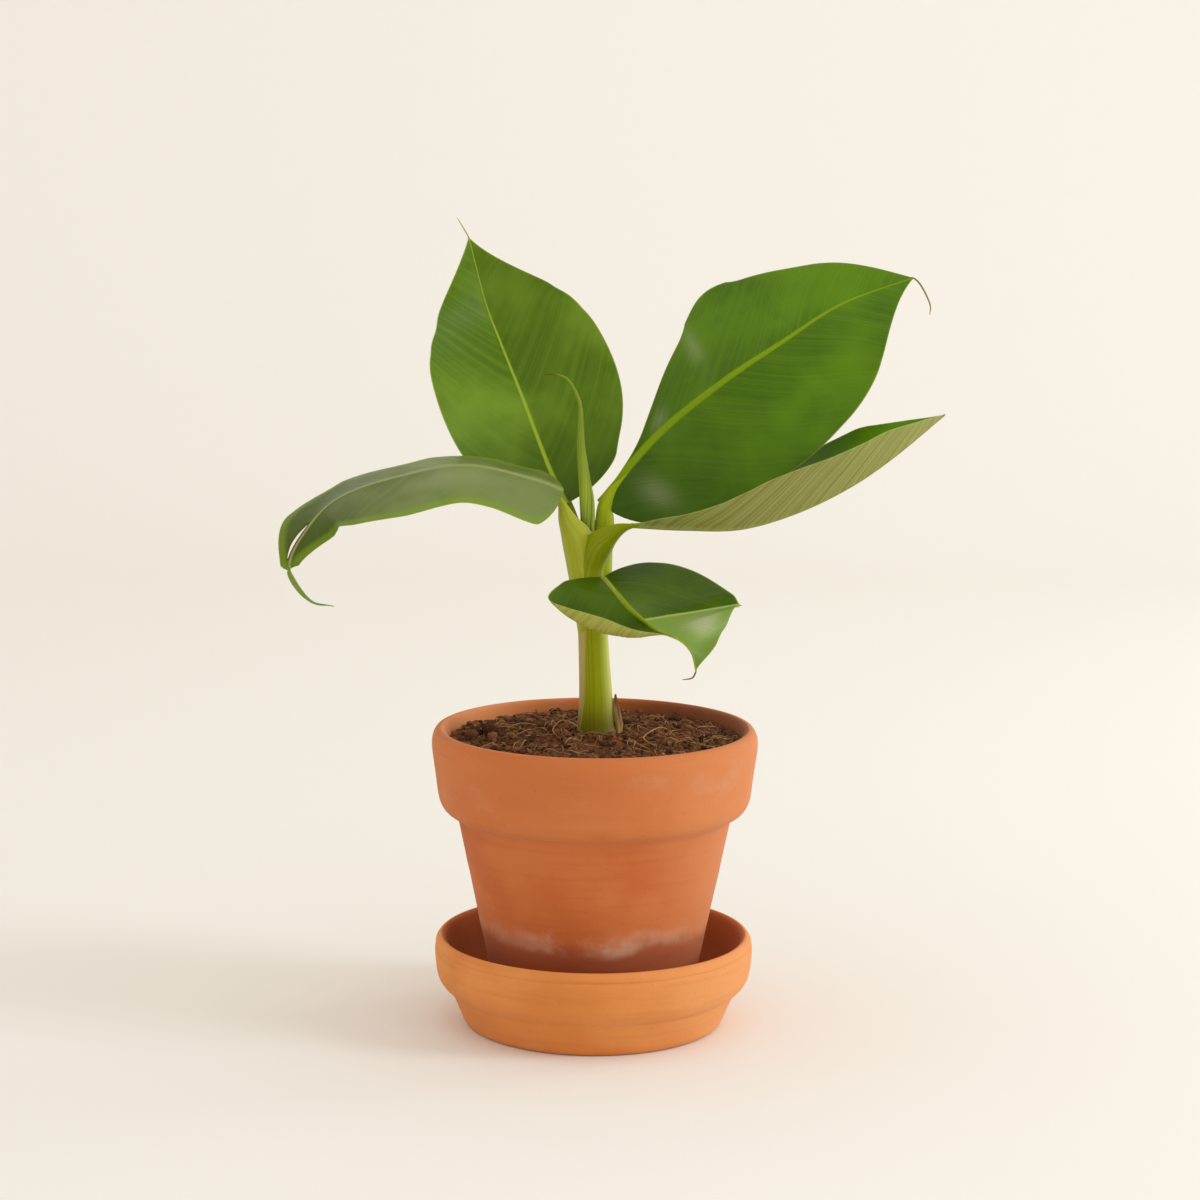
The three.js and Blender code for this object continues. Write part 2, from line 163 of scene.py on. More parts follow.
class Shader:
    """A node material with the few building blocks that the looks below need."""

    def __init__(self, name, roughness=0.5, **sockets):
        self.material = bpy.data.materials.new(name)
        self.material.use_nodes = True
        self.nodes = self.material.node_tree.nodes
        self.links = self.material.node_tree.links
        self.surface = self.nodes["Principled BSDF"]
        self.surface.inputs["Roughness"].default_value = roughness
        for key, value in sockets.items():
            self.surface.inputs[key.replace("_", " ")].default_value = value
        self.position = self.nodes.new("ShaderNodeTexCoord").outputs["Object"]

    def feed(self, socket, value):
        if isinstance(value, bpy.types.NodeSocket):
            self.links.new(value, socket)
        elif isinstance(value, tuple) and len(value) == 3 and len(socket.default_value) == 4:
            socket.default_value = (*value, 1)
        else:
            socket.default_value = value

    def attribute(self, name):
        node = self.nodes.new("ShaderNodeAttribute")
        node.attribute_name = name
        return node.outputs["Fac"]

    def math(self, operation, a, b=0.0, clamp=False):
        node = self.nodes.new("ShaderNodeMath")
        node.operation = operation
        node.use_clamp = clamp
        self.feed(node.inputs[0], a)
        self.feed(node.inputs[1], b)
        return node.outputs[0]

    def split(self):
        node = self.nodes.new("ShaderNodeSeparateXYZ")
        self.feed(node.inputs[0], self.position)
        return node.outputs

    def stretch(self, scale):
        node = self.nodes.new("ShaderNodeMapping")
        self.feed(node.inputs["Vector"], self.position)
        node.inputs["Scale"].default_value = scale
        return node.outputs[0]

    def noise(self, scale, detail=3.0, rough=0.5, vector=None):
        node = self.nodes.new("ShaderNodeTexNoise")
        self.feed(node.inputs["Vector"], vector or self.position)
        node.inputs["Scale"].default_value = scale
        node.inputs["Detail"].default_value = detail
        node.inputs["Roughness"].default_value = rough
        return node.outputs["Fac"]

    def streaks(self, value, scale, detail=2.0):
        """Noise along one number only."""
        node = self.nodes.new("ShaderNodeTexNoise")
        node.noise_dimensions = "1D"
        self.feed(node.inputs["W"], value)
        node.inputs["Scale"].default_value = scale
        node.inputs["Detail"].default_value = detail
        return node.outputs["Fac"]

    def spots(self, scale):
        node = self.nodes.new("ShaderNodeTexVoronoi")
        self.feed(node.inputs["Vector"], self.position)
        node.inputs["Scale"].default_value = scale
        return node.outputs["Distance"]

    def ramp(self, value, low, high, out_low=0.0, out_high=1.0):
        """Smooth step from out_low to out_high as value goes from low to high."""
        node = self.nodes.new("ShaderNodeMapRange")
        node.interpolation_type = "SMOOTHSTEP"
        self.feed(node.inputs["Value"], value)
        for key, number in (("From Min", low), ("From Max", high), ("To Min", out_low), ("To Max", out_high)):
            node.inputs[key].default_value = number
        return node.outputs[0]

    def mix(self, share, a, b):
        node = self.nodes.new("ShaderNodeMix")
        node.data_type = "RGBA"
        self.feed(node.inputs[0], share)
        self.feed(node.inputs[6], a)
        self.feed(node.inputs[7], b)
        return node.outputs[2]

    def tint(self, color, mask, strength, other):
        """The colour turned toward another one by the mask times the strength."""
        return self.mix(self.math("MULTIPLY", mask, strength), color, other)

    def specks(self, color, scale, size, strength, other):
        return self.tint(color, self.math("LESS_THAN", self.spots(scale), size), strength, other)

    def bump(self, height, distance, strength=1.0):
        """distance in metres is what height 0 to 1 raises."""
        node = self.nodes.new("ShaderNodeBump")
        self.feed(node.inputs["Height"], height)
        node.inputs["Strength"].default_value = strength
        node.inputs["Distance"].default_value = distance
        self.links.new(node.outputs[0], self.surface.inputs["Normal"])

    def finish(self, color, roughness=None):
        self.feed(self.surface.inputs["Base Color"], color)
        if roughness is not None:
            self.feed(self.surface.inputs["Roughness"], roughness)
        return self.material


# ---- stage and light ----
def backdrop():
    """A floor that sweeps up into the wall behind, in metres."""
    side, front, bend_at, bend_r, top = 3.5, -2.6, 1.3, 0.7, 3.4
    bend = np.linspace(0, math.pi / 2, 25)[1:]
    profile = [(front, 0.0), (bend_at, 0.0)]
    profile += [(bend_at + bend_r * math.sin(a), bend_r - bend_r * math.cos(a)) for a in bend]
    profile.append((bend_at + bend_r, top))
    vertices = [(x, y, z) for y, z in profile for x in (-side, side)]
    faces = [(2 * i, 2 * i + 1, 2 * i + 3, 2 * i + 2) for i in range(len(profile) - 1)]
    mesh = bpy.data.meshes.new("backdrop")
    mesh.from_pydata(vertices, [], faces)
    mesh.polygons.foreach_set("use_smooth", [True] * len(faces))
    paper = Shader("backdrop_paper", roughness=0.95)
    paper.surface.inputs["Specular IOR Level"].default_value = 0.1
    tone = paper.noise(1.2, detail=1.0)
    mesh.materials.append(paper.finish(paper.mix(tone, (0.883, 0.875, 0.841), (0.893, 0.885, 0.851))))
    sweep = add_object("backdrop", mesh)


def area_light(name, position, target, size, watts, color):
    data = bpy.data.lights.new(name, "AREA")
    data.shape = "RECTANGLE"
    data.size, data.size_y = size
    data.energy = watts
    data.color = color
    lamp = add_object(name, data)
    lamp.location = position
    lamp.rotation_euler = (Vector(target) - Vector(position)).to_track_quat("-Z", "Y").to_euler()


backdrop()
area_light("key", (2.2, -0.56, 1.12), (0, 0, 0.15), (0.75, 0.75), 21, (0.86, 0.93, 1.0))
area_light("rim", (1.5, 0.75, 0.42), (0.03, 0, 0.1), (0.5, 0.9), 5, (1.0, 0.97, 0.93))
world = bpy.data.worlds.new("studio")
bpy.context.scene.world = world
world.use_nodes = True
world.node_tree.nodes["Background"].inputs["Color"].default_value = (1.0, 0.935, 0.85, 1)
world.node_tree.nodes["Background"].inputs["Strength"].default_value = 0.90


# ---- pot and saucer ----
SAUCER_FOOT_R, SAUCER_WALL_R, SAUCER_BAND_R = 54, 61.8, 68.5
SAUCER_BAND_Z, SAUCER_TOP_Z, SAUCER_INNER_R, SAUCER_FLOOR_Z = 15.5, 39, 63.8, 7.5
POT_BOTTOM_Z, POT_BOTTOM_R, POT_NECK_R = 7.8, 41.8, 58.6
POT_BAND_Z, POT_BAND_R, POT_RIM_R = 93.3, 67.2, 69.8
POT_TOP_Z, POT_INNER_R, POT_FLOOR = 129.3, 63.8, 6.5


def rounded(profile, rounds=2, longest=1.6):
    """The profile with its corners cut round and its long edges divided."""
    points = [np.array(p, float) for p in profile]
    for _ in range(rounds):
        cut = [points[0]]
        for a, b in zip(points, points[1:]):
            share = min(0.25, 1.2 / max(np.linalg.norm(b - a), 1e-6))
            cut += [a + (b - a) * share, b - (b - a) * share]
        points = cut + [points[-1]]
    dense = [points[0]]
    for a, b in zip(points, points[1:]):
        count = max(1, math.ceil(np.linalg.norm(b - a) / longest))
        dense += [a + (b - a) * k / count for k in range(1, count + 1)]
    return np.array([p for i, p in enumerate(dense) if i == 0 or np.linalg.norm(p - dense[i - 1]) > 0.02])


def turned(profile, segments, uneven, seed):
    """A turned clay body: the profile swung round the axis, with the slight unevenness of a throw.
    The attribute inside is 1 where the profile has passed its top."""
    ring = profile[1:-1]
    turn = np.linspace(0, 2 * math.pi, segments, endpoint=False)
    radius = np.repeat(ring[:, 0], segments)
    height = np.repeat(ring[:, 1], segments)
    angle = np.tile(turn, len(ring))
    even = np.stack([radius * np.cos(angle), radius * np.sin(angle), height], 1)
    amount = wobble(even * [1, 1, 2.2], 26, seed) + 0.35 * wobble(even * [1, 1, 3], 9, seed + 5)
    radius = radius + uneven * amount * np.minimum(radius / 40, 1)
    body = np.stack([radius * np.cos(angle), radius * np.sin(angle), height], 1)
    vertices = np.concatenate([body, [[0, 0, profile[0][1]], [0, 0, profile[-1][1]]]])
    faces = ring_faces(len(ring), segments)
    last_ring = (len(ring) - 1) * segments
    for k in range(segments):
        n = (k + 1) % segments
        faces.append((len(body), n, k))
        faces.append((len(body) + 1, last_ring + k, last_ring + n))
    past_top = np.arange(len(ring)) > np.argmax(ring[:, 1])
    inside = np.concatenate([np.repeat(past_top, segments), [0, 1]]).astype(float)
    return vertices, faces, {"inside": inside}


def clay(name, base, light, dark, seed):
    """Unglazed terracotta: soft mottling, fine turning lines and painted light, a paler right side where the
    key light falls.
    """
    m = Shader(name, roughness=0.82, Sheen_Weight=0.1, Sheen_Roughness=0.45, Specular_IOR_Level=0.25)
    m.surface.inputs["Sheen Tint"].default_value = (1.0, 0.78, 0.58, 1)
    cloud = m.noise(22 + seed, detail=4)
    rings = m.noise(60, detail=3, vector=m.stretch((0.35, 0.35, 6.0)))
    color = m.mix(m.ramp(cloud, 0.38, 0.66), base, light)
    color = m.mix(m.ramp(rings, 0.45, 0.8, 0.0, 0.3), color, dark)
    # painted light: the clay turns paler toward the right, the side that the key light falls on
    painted_lit_side = m.ramp(m.split()[0], 0.01, 0.06, 0.0, 0.3)
    color = m.mix(painted_lit_side, color, srgb(226, 164, 112))
    return m, color, rings


SAUCER_PROFILE = rounded([
    (0, 0), (SAUCER_FOOT_R, 0), (SAUCER_FOOT_R + 1.8, 1.2), (SAUCER_FOOT_R + 4.2, 7),
    (SAUCER_WALL_R - 0.6, SAUCER_BAND_Z - 1.6), (SAUCER_WALL_R - 0.2, SAUCER_BAND_Z - 0.5),
    (SAUCER_WALL_R + 0.8, SAUCER_BAND_Z), (SAUCER_BAND_R - 3.4, SAUCER_BAND_Z + 2),
    (SAUCER_BAND_R - 1.4, SAUCER_BAND_Z + 5), (SAUCER_BAND_R - 0.5, SAUCER_BAND_Z + 10),
    (SAUCER_BAND_R, SAUCER_TOP_Z - 7), (SAUCER_BAND_R - 0.2, SAUCER_TOP_Z - 4.8),
    (SAUCER_BAND_R - 0.7, SAUCER_TOP_Z - 4.3), (SAUCER_BAND_R - 0.3, SAUCER_TOP_Z - 3.7),
    (SAUCER_BAND_R - 0.5, SAUCER_TOP_Z - 2.4), (SAUCER_BAND_R - 2, SAUCER_TOP_Z - 0.4),
    (SAUCER_INNER_R + 1.4, SAUCER_TOP_Z - 0.2), (SAUCER_INNER_R, SAUCER_TOP_Z - 1.6),
    (SAUCER_INNER_R - 2.4, 22), (SAUCER_INNER_R - 6.6, 11), (SAUCER_INNER_R - 9.6, SAUCER_FLOOR_Z),
    (0, SAUCER_FLOOR_Z),
])
POT_INSIDE = [
    (POT_INNER_R, POT_TOP_Z - 1.2), (POT_INNER_R - 1, POT_TOP_Z - 9), (POT_NECK_R - 4.6, POT_BAND_Z - 5),
    (POT_BOTTOM_R - 3, POT_BOTTOM_Z + POT_FLOOR + 2), (POT_BOTTOM_R - 5, POT_BOTTOM_Z + POT_FLOOR),
]
POT_PROFILE = rounded([
    (0, POT_BOTTOM_Z), (POT_BOTTOM_R - 1.2, POT_BOTTOM_Z), (POT_BOTTOM_R, POT_BOTTOM_Z + 1.2),
    (POT_NECK_R, POT_BAND_Z - 3), (POT_NECK_R + 2.4, POT_BAND_Z - 0.8), (POT_BAND_R - 2.6, POT_BAND_Z + 1),
    (POT_BAND_R - 0.4, POT_BAND_Z + 5.4), (POT_BAND_R + 0.9, POT_BAND_Z + 16), (POT_RIM_R, POT_TOP_Z - 7.5),
    (POT_RIM_R - 0.4, POT_TOP_Z - 3.4), (POT_RIM_R - 1.8, POT_TOP_Z - 0.6), (POT_INNER_R + 2, POT_TOP_Z),
    *POT_INSIDE, (0, POT_BOTTOM_Z + POT_FLOOR),
])
DAMP_TOP_M = 0.051


def saucer_material():
    m, color, rings = clay("saucer_clay", srgb(214, 132, 66), srgb(224, 146, 80), srgb(196, 110, 50), 3)
    # painted shade: the inside of the saucer, the recess round the pot, is made darker
    color = m.tint(color, m.attribute("inside"), 0.6, srgb(166, 86, 44))
    color = m.specks(color, 420, 0.09, 0.35, srgb(120, 62, 34))
    m.bump(m.math("ADD", m.math("MULTIPLY", rings, 0.5), m.noise(900, detail=2)), 0.00016, 0.5)
    return m.finish(color)


def pot_material():
    """Terracotta with a damp foot, salts along the edge of the damp and a paler, patchy rim band."""
    m, color, rings = clay("pot_clay", srgb(192, 100, 50), srgb(202, 114, 62), srgb(172, 86, 44), 0)
    x, y, z = m.split()
    inside, band_m = m.attribute("inside"), POT_BAND_Z * MM
    color = m.mix(m.ramp(z, band_m - 0.0033, band_m + 0.0047, 0.0, 0.45), color, srgb(208, 128, 74))
    level = m.math("ADD", z, m.math("MULTIPLY", m.noise(38, detail=4), 0.012))
    damp = m.ramp(level, DAMP_TOP_M + 0.0035, DAMP_TOP_M - 0.0035)
    color = m.tint(color, damp, 0.75, srgb(160, 82, 52))
    salt_from = m.ramp(level, DAMP_TOP_M - 0.005, DAMP_TOP_M - 0.0005)
    salt_to = m.ramp(level, DAMP_TOP_M + 0.007, DAMP_TOP_M + 0.0015)
    salt = m.math("MULTIPLY", m.math("MULTIPLY", salt_from, salt_to),
                  m.ramp(m.noise(48, detail=5, rough=0.65), 0.34, 0.66))
    salt = m.math("MULTIPLY", salt, m.ramp(m.math("ABSOLUTE", x), 0.036, 0.010, 0.4, 1.0))
    color = m.tint(color, salt, 0.75, srgb(214, 172, 146))
    patch = m.ramp(m.noise(34, detail=5, rough=0.62, vector=m.stretch((1, 1, 1.6))), 0.54, 0.74)
    patch = m.math("MULTIPLY", patch, m.ramp(z, band_m + 0.0057, band_m + 0.0127))
    color = m.tint(color, patch, 0.4, srgb(206, 150, 118))
    # painted shade and light inside the pot: the right inner wall is darkened, as in shadow, and the left
    # inner wall lightened, where the key light reaches it
    painted_shade_wall = m.ramp(x, -0.02, 0.045, 0.1, 0.7)
    color = m.tint(color, inside, painted_shade_wall, srgb(110, 54, 30))
    painted_light_wall = m.ramp(x, -0.015, -0.05, 0.0, 0.6)
    color = m.tint(color, inside, painted_light_wall, srgb(228, 152, 100))
    color = m.specks(color, 330, 0.07, 0.5, srgb(96, 48, 30))
    m.bump(m.math("ADD", m.math("MULTIPLY", rings, 0.5), m.noise(820, detail=2)), 0.00018, 0.5)
    return m.finish(color)


place(mesh_object("saucer_turned", *turned(SAUCER_PROFILE, 256, 0.12, 3.0)), "saucer_clay",
      saucer_material(), "saucer")
place(mesh_object("pot_turned", *turned(POT_PROFILE, 256, 0.14, 11.0)), "pot_clay", pot_material(), "pot")


# ---- soil ----
SOIL_R = 62.5
SOIL_BOTTOM_Z = POT_BOTTOM_Z + POT_FLOOR + 0.3
SOIL_LEVEL = [(0, 126.6), (13, 126.6), (24, 125.8), (45, 124.4), (SOIL_R, 123.4)]


def soil_height(x, y):
    """Height of the loose surface at a place: the gentle mound with clods and crumbs on it."""
    r = math.hypot(x, y)
    base = float(np.interp(r, *zip(*SOIL_LEVEL)))
    p = Vector((x, y, 0))
    lump = 1.6 * noise.noise(p / 13 + Vector((3, 1, 0))) + 1.4 * noise.noise(p / 5.5 + Vector((7, 2, 4)))
    crumb = 0.55 * abs(noise.noise(p / 2.4)) + 0.3 * noise.noise(p / 1.1)
    return base + (lump + crumb) * min(1.0, max(0.15, (r - 7) / 8))


def soil_body(rings=108, sides=300):
    """The soil: its loose surface, then plain rings down the pot's wall to a flat underside."""
    points = []
    for r in np.linspace(0.6, SOIL_R, rings):
        for k in range(sides):
            a = 2 * math.pi * (k + 0.5 * (int(r * 10) % 2)) / sides
            x, y = r * math.cos(a), r * math.sin(a)
            points.append((x, y, soil_height(x, y)))
    wall = [(SOIL_R - 0.6, 119), (POT_NECK_R - 5.1, POT_BAND_Z - 4.7), (POT_BOTTOM_R - 5.6, SOIL_BOTTOM_Z)]
    for r, z in wall:
        turns = [2 * math.pi * k / sides for k in range(sides)]
        points += [(r * math.cos(a), r * math.sin(a), z) for a in turns]
    levels = rings + len(wall)
    faces = ring_faces(levels, sides)
    top, last_ring = len(points), (levels - 1) * sides
    points += [(0, 0, soil_height(0, 0)), (0, 0, SOIL_BOTTOM_Z)]
    for k in range(sides):
        n = (k + 1) % sides
        faces.append((top, k, n))
        faces.append((top + 1, last_ring + n, last_ring + k))
    return points, faces


def soil_material():
    m = Shader("soil", roughness=0.95, Specular_IOR_Level=0.25)
    grain = m.noise(520, detail=5, rough=0.65)
    tone = m.noise(120, detail=4, rough=0.6)
    color = m.mix(m.ramp(grain, 0.36, 0.66), srgb(58, 32, 16), srgb(128, 78, 44))
    color = m.mix(m.ramp(tone, 0.52, 0.72, 0.0, 0.6), color, srgb(150, 88, 50))
    m.bump(grain, 0.0009, 0.8)
    return m.finish(color)


place(mesh_object("soil_surface", *soil_body()), "soil", soil_material(), "soil")

# clods against the wall at the left: x, y, size
CLODS = [(-51.5, 2, 3.0), (-52.5, -3, 2.6), (-50, 6, 2.2), (-44.5, 1, 3.2), (-43.5, -5, 2.6), (-46, 6, 2.4)]


def crumb_shape(rng):
    """A small irregular lump: an icosphere pushed about."""
    work = bmesh.new()
    bmesh.ops.create_icosphere(work, subdivisions=1, radius=1)
    push = Vector([rng.uniform(-50, 50) for _ in range(3)])
    for v in work.verts:
        v.co *= 1 + 0.6 * noise.noise(v.co * 1.6 + push)
    shape = (np.array([v.co[:] for v in work.verts]), [[v.index for v in f.verts] for f in work.faces])
    work.free()
    return shape


def soil_crumbs():
    """Crumbs over the whole surface, clods at the left and a fibrous mound before the stem."""
    rng = random.Random(7)
    shapes = [crumb_shape(rng) for _ in range(14)]
    parts = []

    def add(x, y, size, lift=0.25, squeeze=0.75):
        shape, shape_faces = shapes[rng.randrange(len(shapes))]
        angle = rng.uniform(0, 6.28)
        axis = Vector([rng.gauss(0, 1) for _ in range(3)]).normalized()
        spin = np.array(Matrix.Rotation(angle, 3, axis))
        body = shape @ spin.T * size * [rng.uniform(0.7, 1.3), rng.uniform(0.7, 1.3), squeeze]
        raised = body + [x, y, soil_height(x, y) + size * lift]
        parts.append((raised, shape_faces, {"shade": rng.random()}))

    for _ in range(1500):
        r, a = 61.3 * math.sqrt(rng.random()), rng.uniform(0, 2 * math.pi)
        size = rng.choice([0.5, 0.6, 0.8, 0.9, 1.2, 1.7])
        if r + size < 61.8 and (r > 10 or size < 0.7) and r > 8:
            add(r * math.cos(a), r * math.sin(a), size)
    for x, y, size in CLODS:
        add(x, y, size, 0.55, 1.1)
    for _ in range(90):
        a, r = rng.uniform(math.radians(180), math.radians(330)), rng.uniform(9, 17)
        add(r * math.cos(a), r * math.sin(a), rng.uniform(0.5, 1.3), 0.6)
    return join_parts(parts)


def crumb_material():
    m = Shader("soil_crumbs", roughness=0.95, Specular_IOR_Level=0.25)
    grain = m.noise(700, detail=4, rough=0.6)
    tone = m.ramp(m.attribute("shade"), 0.15, 0.95)
    color = m.mix(tone, srgb(56, 32, 18), srgb(138, 90, 56))
    color = m.mix(m.ramp(grain, 0.4, 0.7, 0.0, 0.6), color, srgb(108, 62, 34))
    m.bump(grain, 0.0006, 0.7)
    return m.finish(color)


place(mesh_object("soil_crumbs", *soil_crumbs()), "soil", crumb_material())


def strand(path, radius, sides=5, taper=0.4):
    """A thin curved thread through a few points."""
    path = np.asarray(path, float)
    t = np.linspace(0, 1, 5 * len(path))
    centre = along(path, t)
    ahead = tangents(path, t)
    side = unit(np.cross(ahead, [0.31, 0.2, 0.93]))
    across = np.cross(ahead, side)
    thin = radius * (1 - (1 - taper) * np.abs(2 * t - 1) ** 2)
    vertices = []
    for k in range(sides):
        a = 2 * math.pi * k / sides
        vertices.append(centre + (side * math.cos(a) + across * math.sin(a)) * thin[:, None])
    return np.stack(vertices, 1).reshape(-1, 3), ring_faces(len(t), sides, capped=True)


# the long pale strands that stand out: points as x, y, height above the soil, then the radius
LONG_FIBRES = [
    ([(-16, -8, 0.3), (-18, -2, 2.5), (-14, 4, 4.5), (-8, -1, 3), (-5, -9, 1)], 0.27),
    ([(31, 6, 3), (27, -2, 3.2), (21, -10, 1.4), (22, -18, 1), (26, -24, 0.6)], 0.30),
    ([(12, -18, 0.5), (17, -22, 1.2), (23, -25, 0.6)], 0.22),
    ([(-26, -22, 0.6), (-18, -27, 1.0), (-8, -26, 0.6), (2, -29, 0.6)], 0.24),
    ([(38, -12, 0.5), (44, -18, 1.8), (52, -20, 1.0)], 0.2),
    ([(-38, 10, 0.6), (-32, 16, 2.2), (-24, 15, 0.8)], 0.2),
]


def fibre_path(rng, x, y):
    """A short arched path over the soil from a place, ended where it would meet the pot."""
    heading = rng.uniform(0, 2 * math.pi)
    length, bend, rise = rng.choice([4, 6, 8, 11, 15]), rng.gauss(0, 0.5), rng.uniform(0.2, 2.2)
    path = []
    for k in range(4):
        if math.hypot(x, y) > 61:
            break
        path.append((x, y, soil_height(x, y) + 0.3 + rise * math.sin(math.pi * (k / 3))))
        heading += bend
        x, y = x + length / 3 * math.cos(heading), y + length / 3 * math.sin(heading)
    return path


def soil_fibres():
    rng = random.Random(21)
    parts = []
    for _ in range(330):
        r, a = 59 * math.sqrt(rng.random()), rng.uniform(0, 2 * math.pi)
        path = fibre_path(rng, r * math.cos(a), r * math.sin(a)) if r >= 9 else []
        if len(path) > 2:
            vertices, faces = strand(path, rng.uniform(0.1, 0.24))
            parts.append((vertices, faces, {"shade": rng.random()}))
    for path, radius in LONG_FIBRES:
        lifted = [(x, y, soil_height(x, y) + h) for x, y, h in path]
        vertices, faces = strand(lifted, radius, 6)
        parts.append((vertices, faces, {"shade": 0.95}))
    return join_parts(parts)


def fibre_material():
    m = Shader("soil_fibres", roughness=0.8, Specular_IOR_Level=0.3)
    color = m.mix(m.attribute("shade"), srgb(92, 54, 30), srgb(196, 152, 92))
    color = m.mix(m.ramp(m.noise(300), 0.4, 0.7, 0.0, 0.5), color, srgb(120, 78, 44))
    return m.finish(color)


place(mesh_object("soil_fibres", *soil_fibres()), "soil", fibre_material())


# ---- pseudostem ----
STEM = [
    (0.4, 0, 126.9, 8.7), (0.2, 0, 134, 7.8), (0.1, 0, 144, 7.2), (-0.9, 0, 164, 6.6),
    (-1.6, 0, 180, 6.4), (-2.4, 0, 192, 5.4), (-2.8, 0, 200, 3.6),
]


def limb(stations, rings, sides, shape):
    """A round limb through (x, y, z, radius) stations. shape(t, turn) scales the radius."""
    stations = np.asarray(stations, float)
    t = np.linspace(0, 1, rings)
    centre, radius, ahead = along(stations[:, :3], t), along(stations[:, 3], t), tangents(stations[:, :3], t)
    turn = np.linspace(0, 2 * math.pi, sides, endpoint=False)
    side = np.array([1.0, 0, 0])
    vertices = np.zeros((rings, sides, 3))
    for i in range(rings):
        side = unit(side - ahead[i] * side.dot(ahead[i]))
        across = np.cross(ahead[i], side)
        r = radius[i] * shape(t[i], turn)
        vertices[i] = centre[i] + (np.cos(turn) * r)[:, None] * side + (np.sin(turn) * r)[:, None] * across
    faces = ring_faces(rings, sides, capped=True)
    return vertices.reshape(-1, 3), faces, np.repeat(t, sides), np.tile(turn, rings)


def after(turn, start):
    """Share of a full turn passed since start, from 0 to 1."""
    return np.mod(turn - start, 2 * math.pi) / (2 * math.pi)


def left_edge(t):
    """Angle of the outer sheath's left margin, which winds toward the front from the foot up."""
    return math.radians(206) + math.radians(34) * np.minimum(t / 0.55, 1) ** 0.8


def stem_shape(t, turn):
    overlap = 0.055 * (1 - after(turn, left_edge(t))) ** 3
    ribs = 0.004 * np.sin(turn * 34 + 2 * t) + 0.003 * np.sin(turn * 55 - t)
    foot = 0.10 * max(0.0, 1 - t / 0.12) ** 2 * np.maximum(np.cos(turn - math.radians(330)), 0)
    return 0.965 + overlap + ribs + foot


def stem_marks(t, turn):
    """What the stem's material paints by: the sheath's seam, where a painted highlight runs, the dry strip
    beside it, and the pale side, which is painted light on the right where the lamps fall.
    """
    left = left_edge(t)
    beige = np.clip((left - turn) / 0.06, 0, 1) * np.clip((turn - math.radians(120)) / 0.1, 0, 1)
    # painted light: the right side of the stem is made pale, where the key and rim lights fall
    pale = np.clip((turn - math.radians(292)) / 0.8, 0, 1)
    pale = np.maximum(pale, np.clip((math.radians(80) - turn) / 0.6, 0, 1))
    # painted highlight: a pale line along the outer sheath's edge
    seam = np.exp(-((left + 0.02 - turn) / 0.05) ** 2)
    return {"turn": turn, "height": t, "pale": pale, "beige": beige, "seam": seam}


def stem_material():
    m = Shader("stem", roughness=0.5, Specular_IOR_Level=0.12)
    ribs = m.streaks(m.attribute("turn"), 12.0, detail=4.0)
    color = m.mix(m.ramp(ribs, 0.36, 0.66), srgb(140, 148, 0), srgb(162, 170, 4))
    # painted light on the right side
    color = m.mix(m.attribute("pale"), color, srgb(198, 200, 104))
    color = m.mix(m.attribute("beige"), color, srgb(188, 172, 98))
    color = m.tint(color, m.ramp(m.attribute("height"), 0.4, 0.04), 0.85, srgb(88, 72, 0))
    # painted highlight along the sheath's edge
    color = m.tint(color, m.attribute("seam"), 0.6, srgb(186, 174, 104))
    flecks = m.noise(420, detail=3, vector=m.stretch((1, 1, 0.16)))
    color = m.mix(m.ramp(flecks, 0.62, 0.8, 0.0, 0.5), color, srgb(140, 122, 60))
    m.bump(m.math("ADD", ribs, m.math("MULTIPLY", flecks, 0.3)), 0.0003, 0.5)
    return m.finish(color)


vertices, faces, t, turn = limb(STEM, 130, 144, stem_shape)
piece = mesh_object("pseudostem_sheaths", vertices, faces, stem_marks(t, turn))
place(piece, "stem", stem_material(), "pseudostem")


# ---- dry sheath stub ----
STUB = [(9.9, -1, 126.6, 1.6), (9.8, -1.2, 132, 1.5), (9.1, -1.4, 138, 1.1), (8.7, -1.4, 143.5, 0.35)]


def stub_shape(t, turn):
    return 1 + 0.22 * np.sin(3 * turn + 5 * t) + 0.1 * np.sin(7 * turn)


def stub_material():
    m = Shader("dry_sheath", roughness=0.85)
    lines = m.noise(500, detail=4, vector=m.stretch((1, 1, 0.12)))
    color = m.mix(m.ramp(lines, 0.35, 0.7), srgb(112, 76, 42), srgb(176, 142, 84))
    color = m.mix(m.ramp(m.attribute("height"), 0.8, 1.0), color, srgb(120, 86, 50))
    m.bump(lines, 0.0005, 0.8)
    return m.finish(color)


vertices, faces, t, turn = limb(STUB, 40, 28, stub_shape)
place(mesh_object("dry_stub", vertices, faces, {"height": t}), "dry_sheath", stub_material(), "sheath_stub")


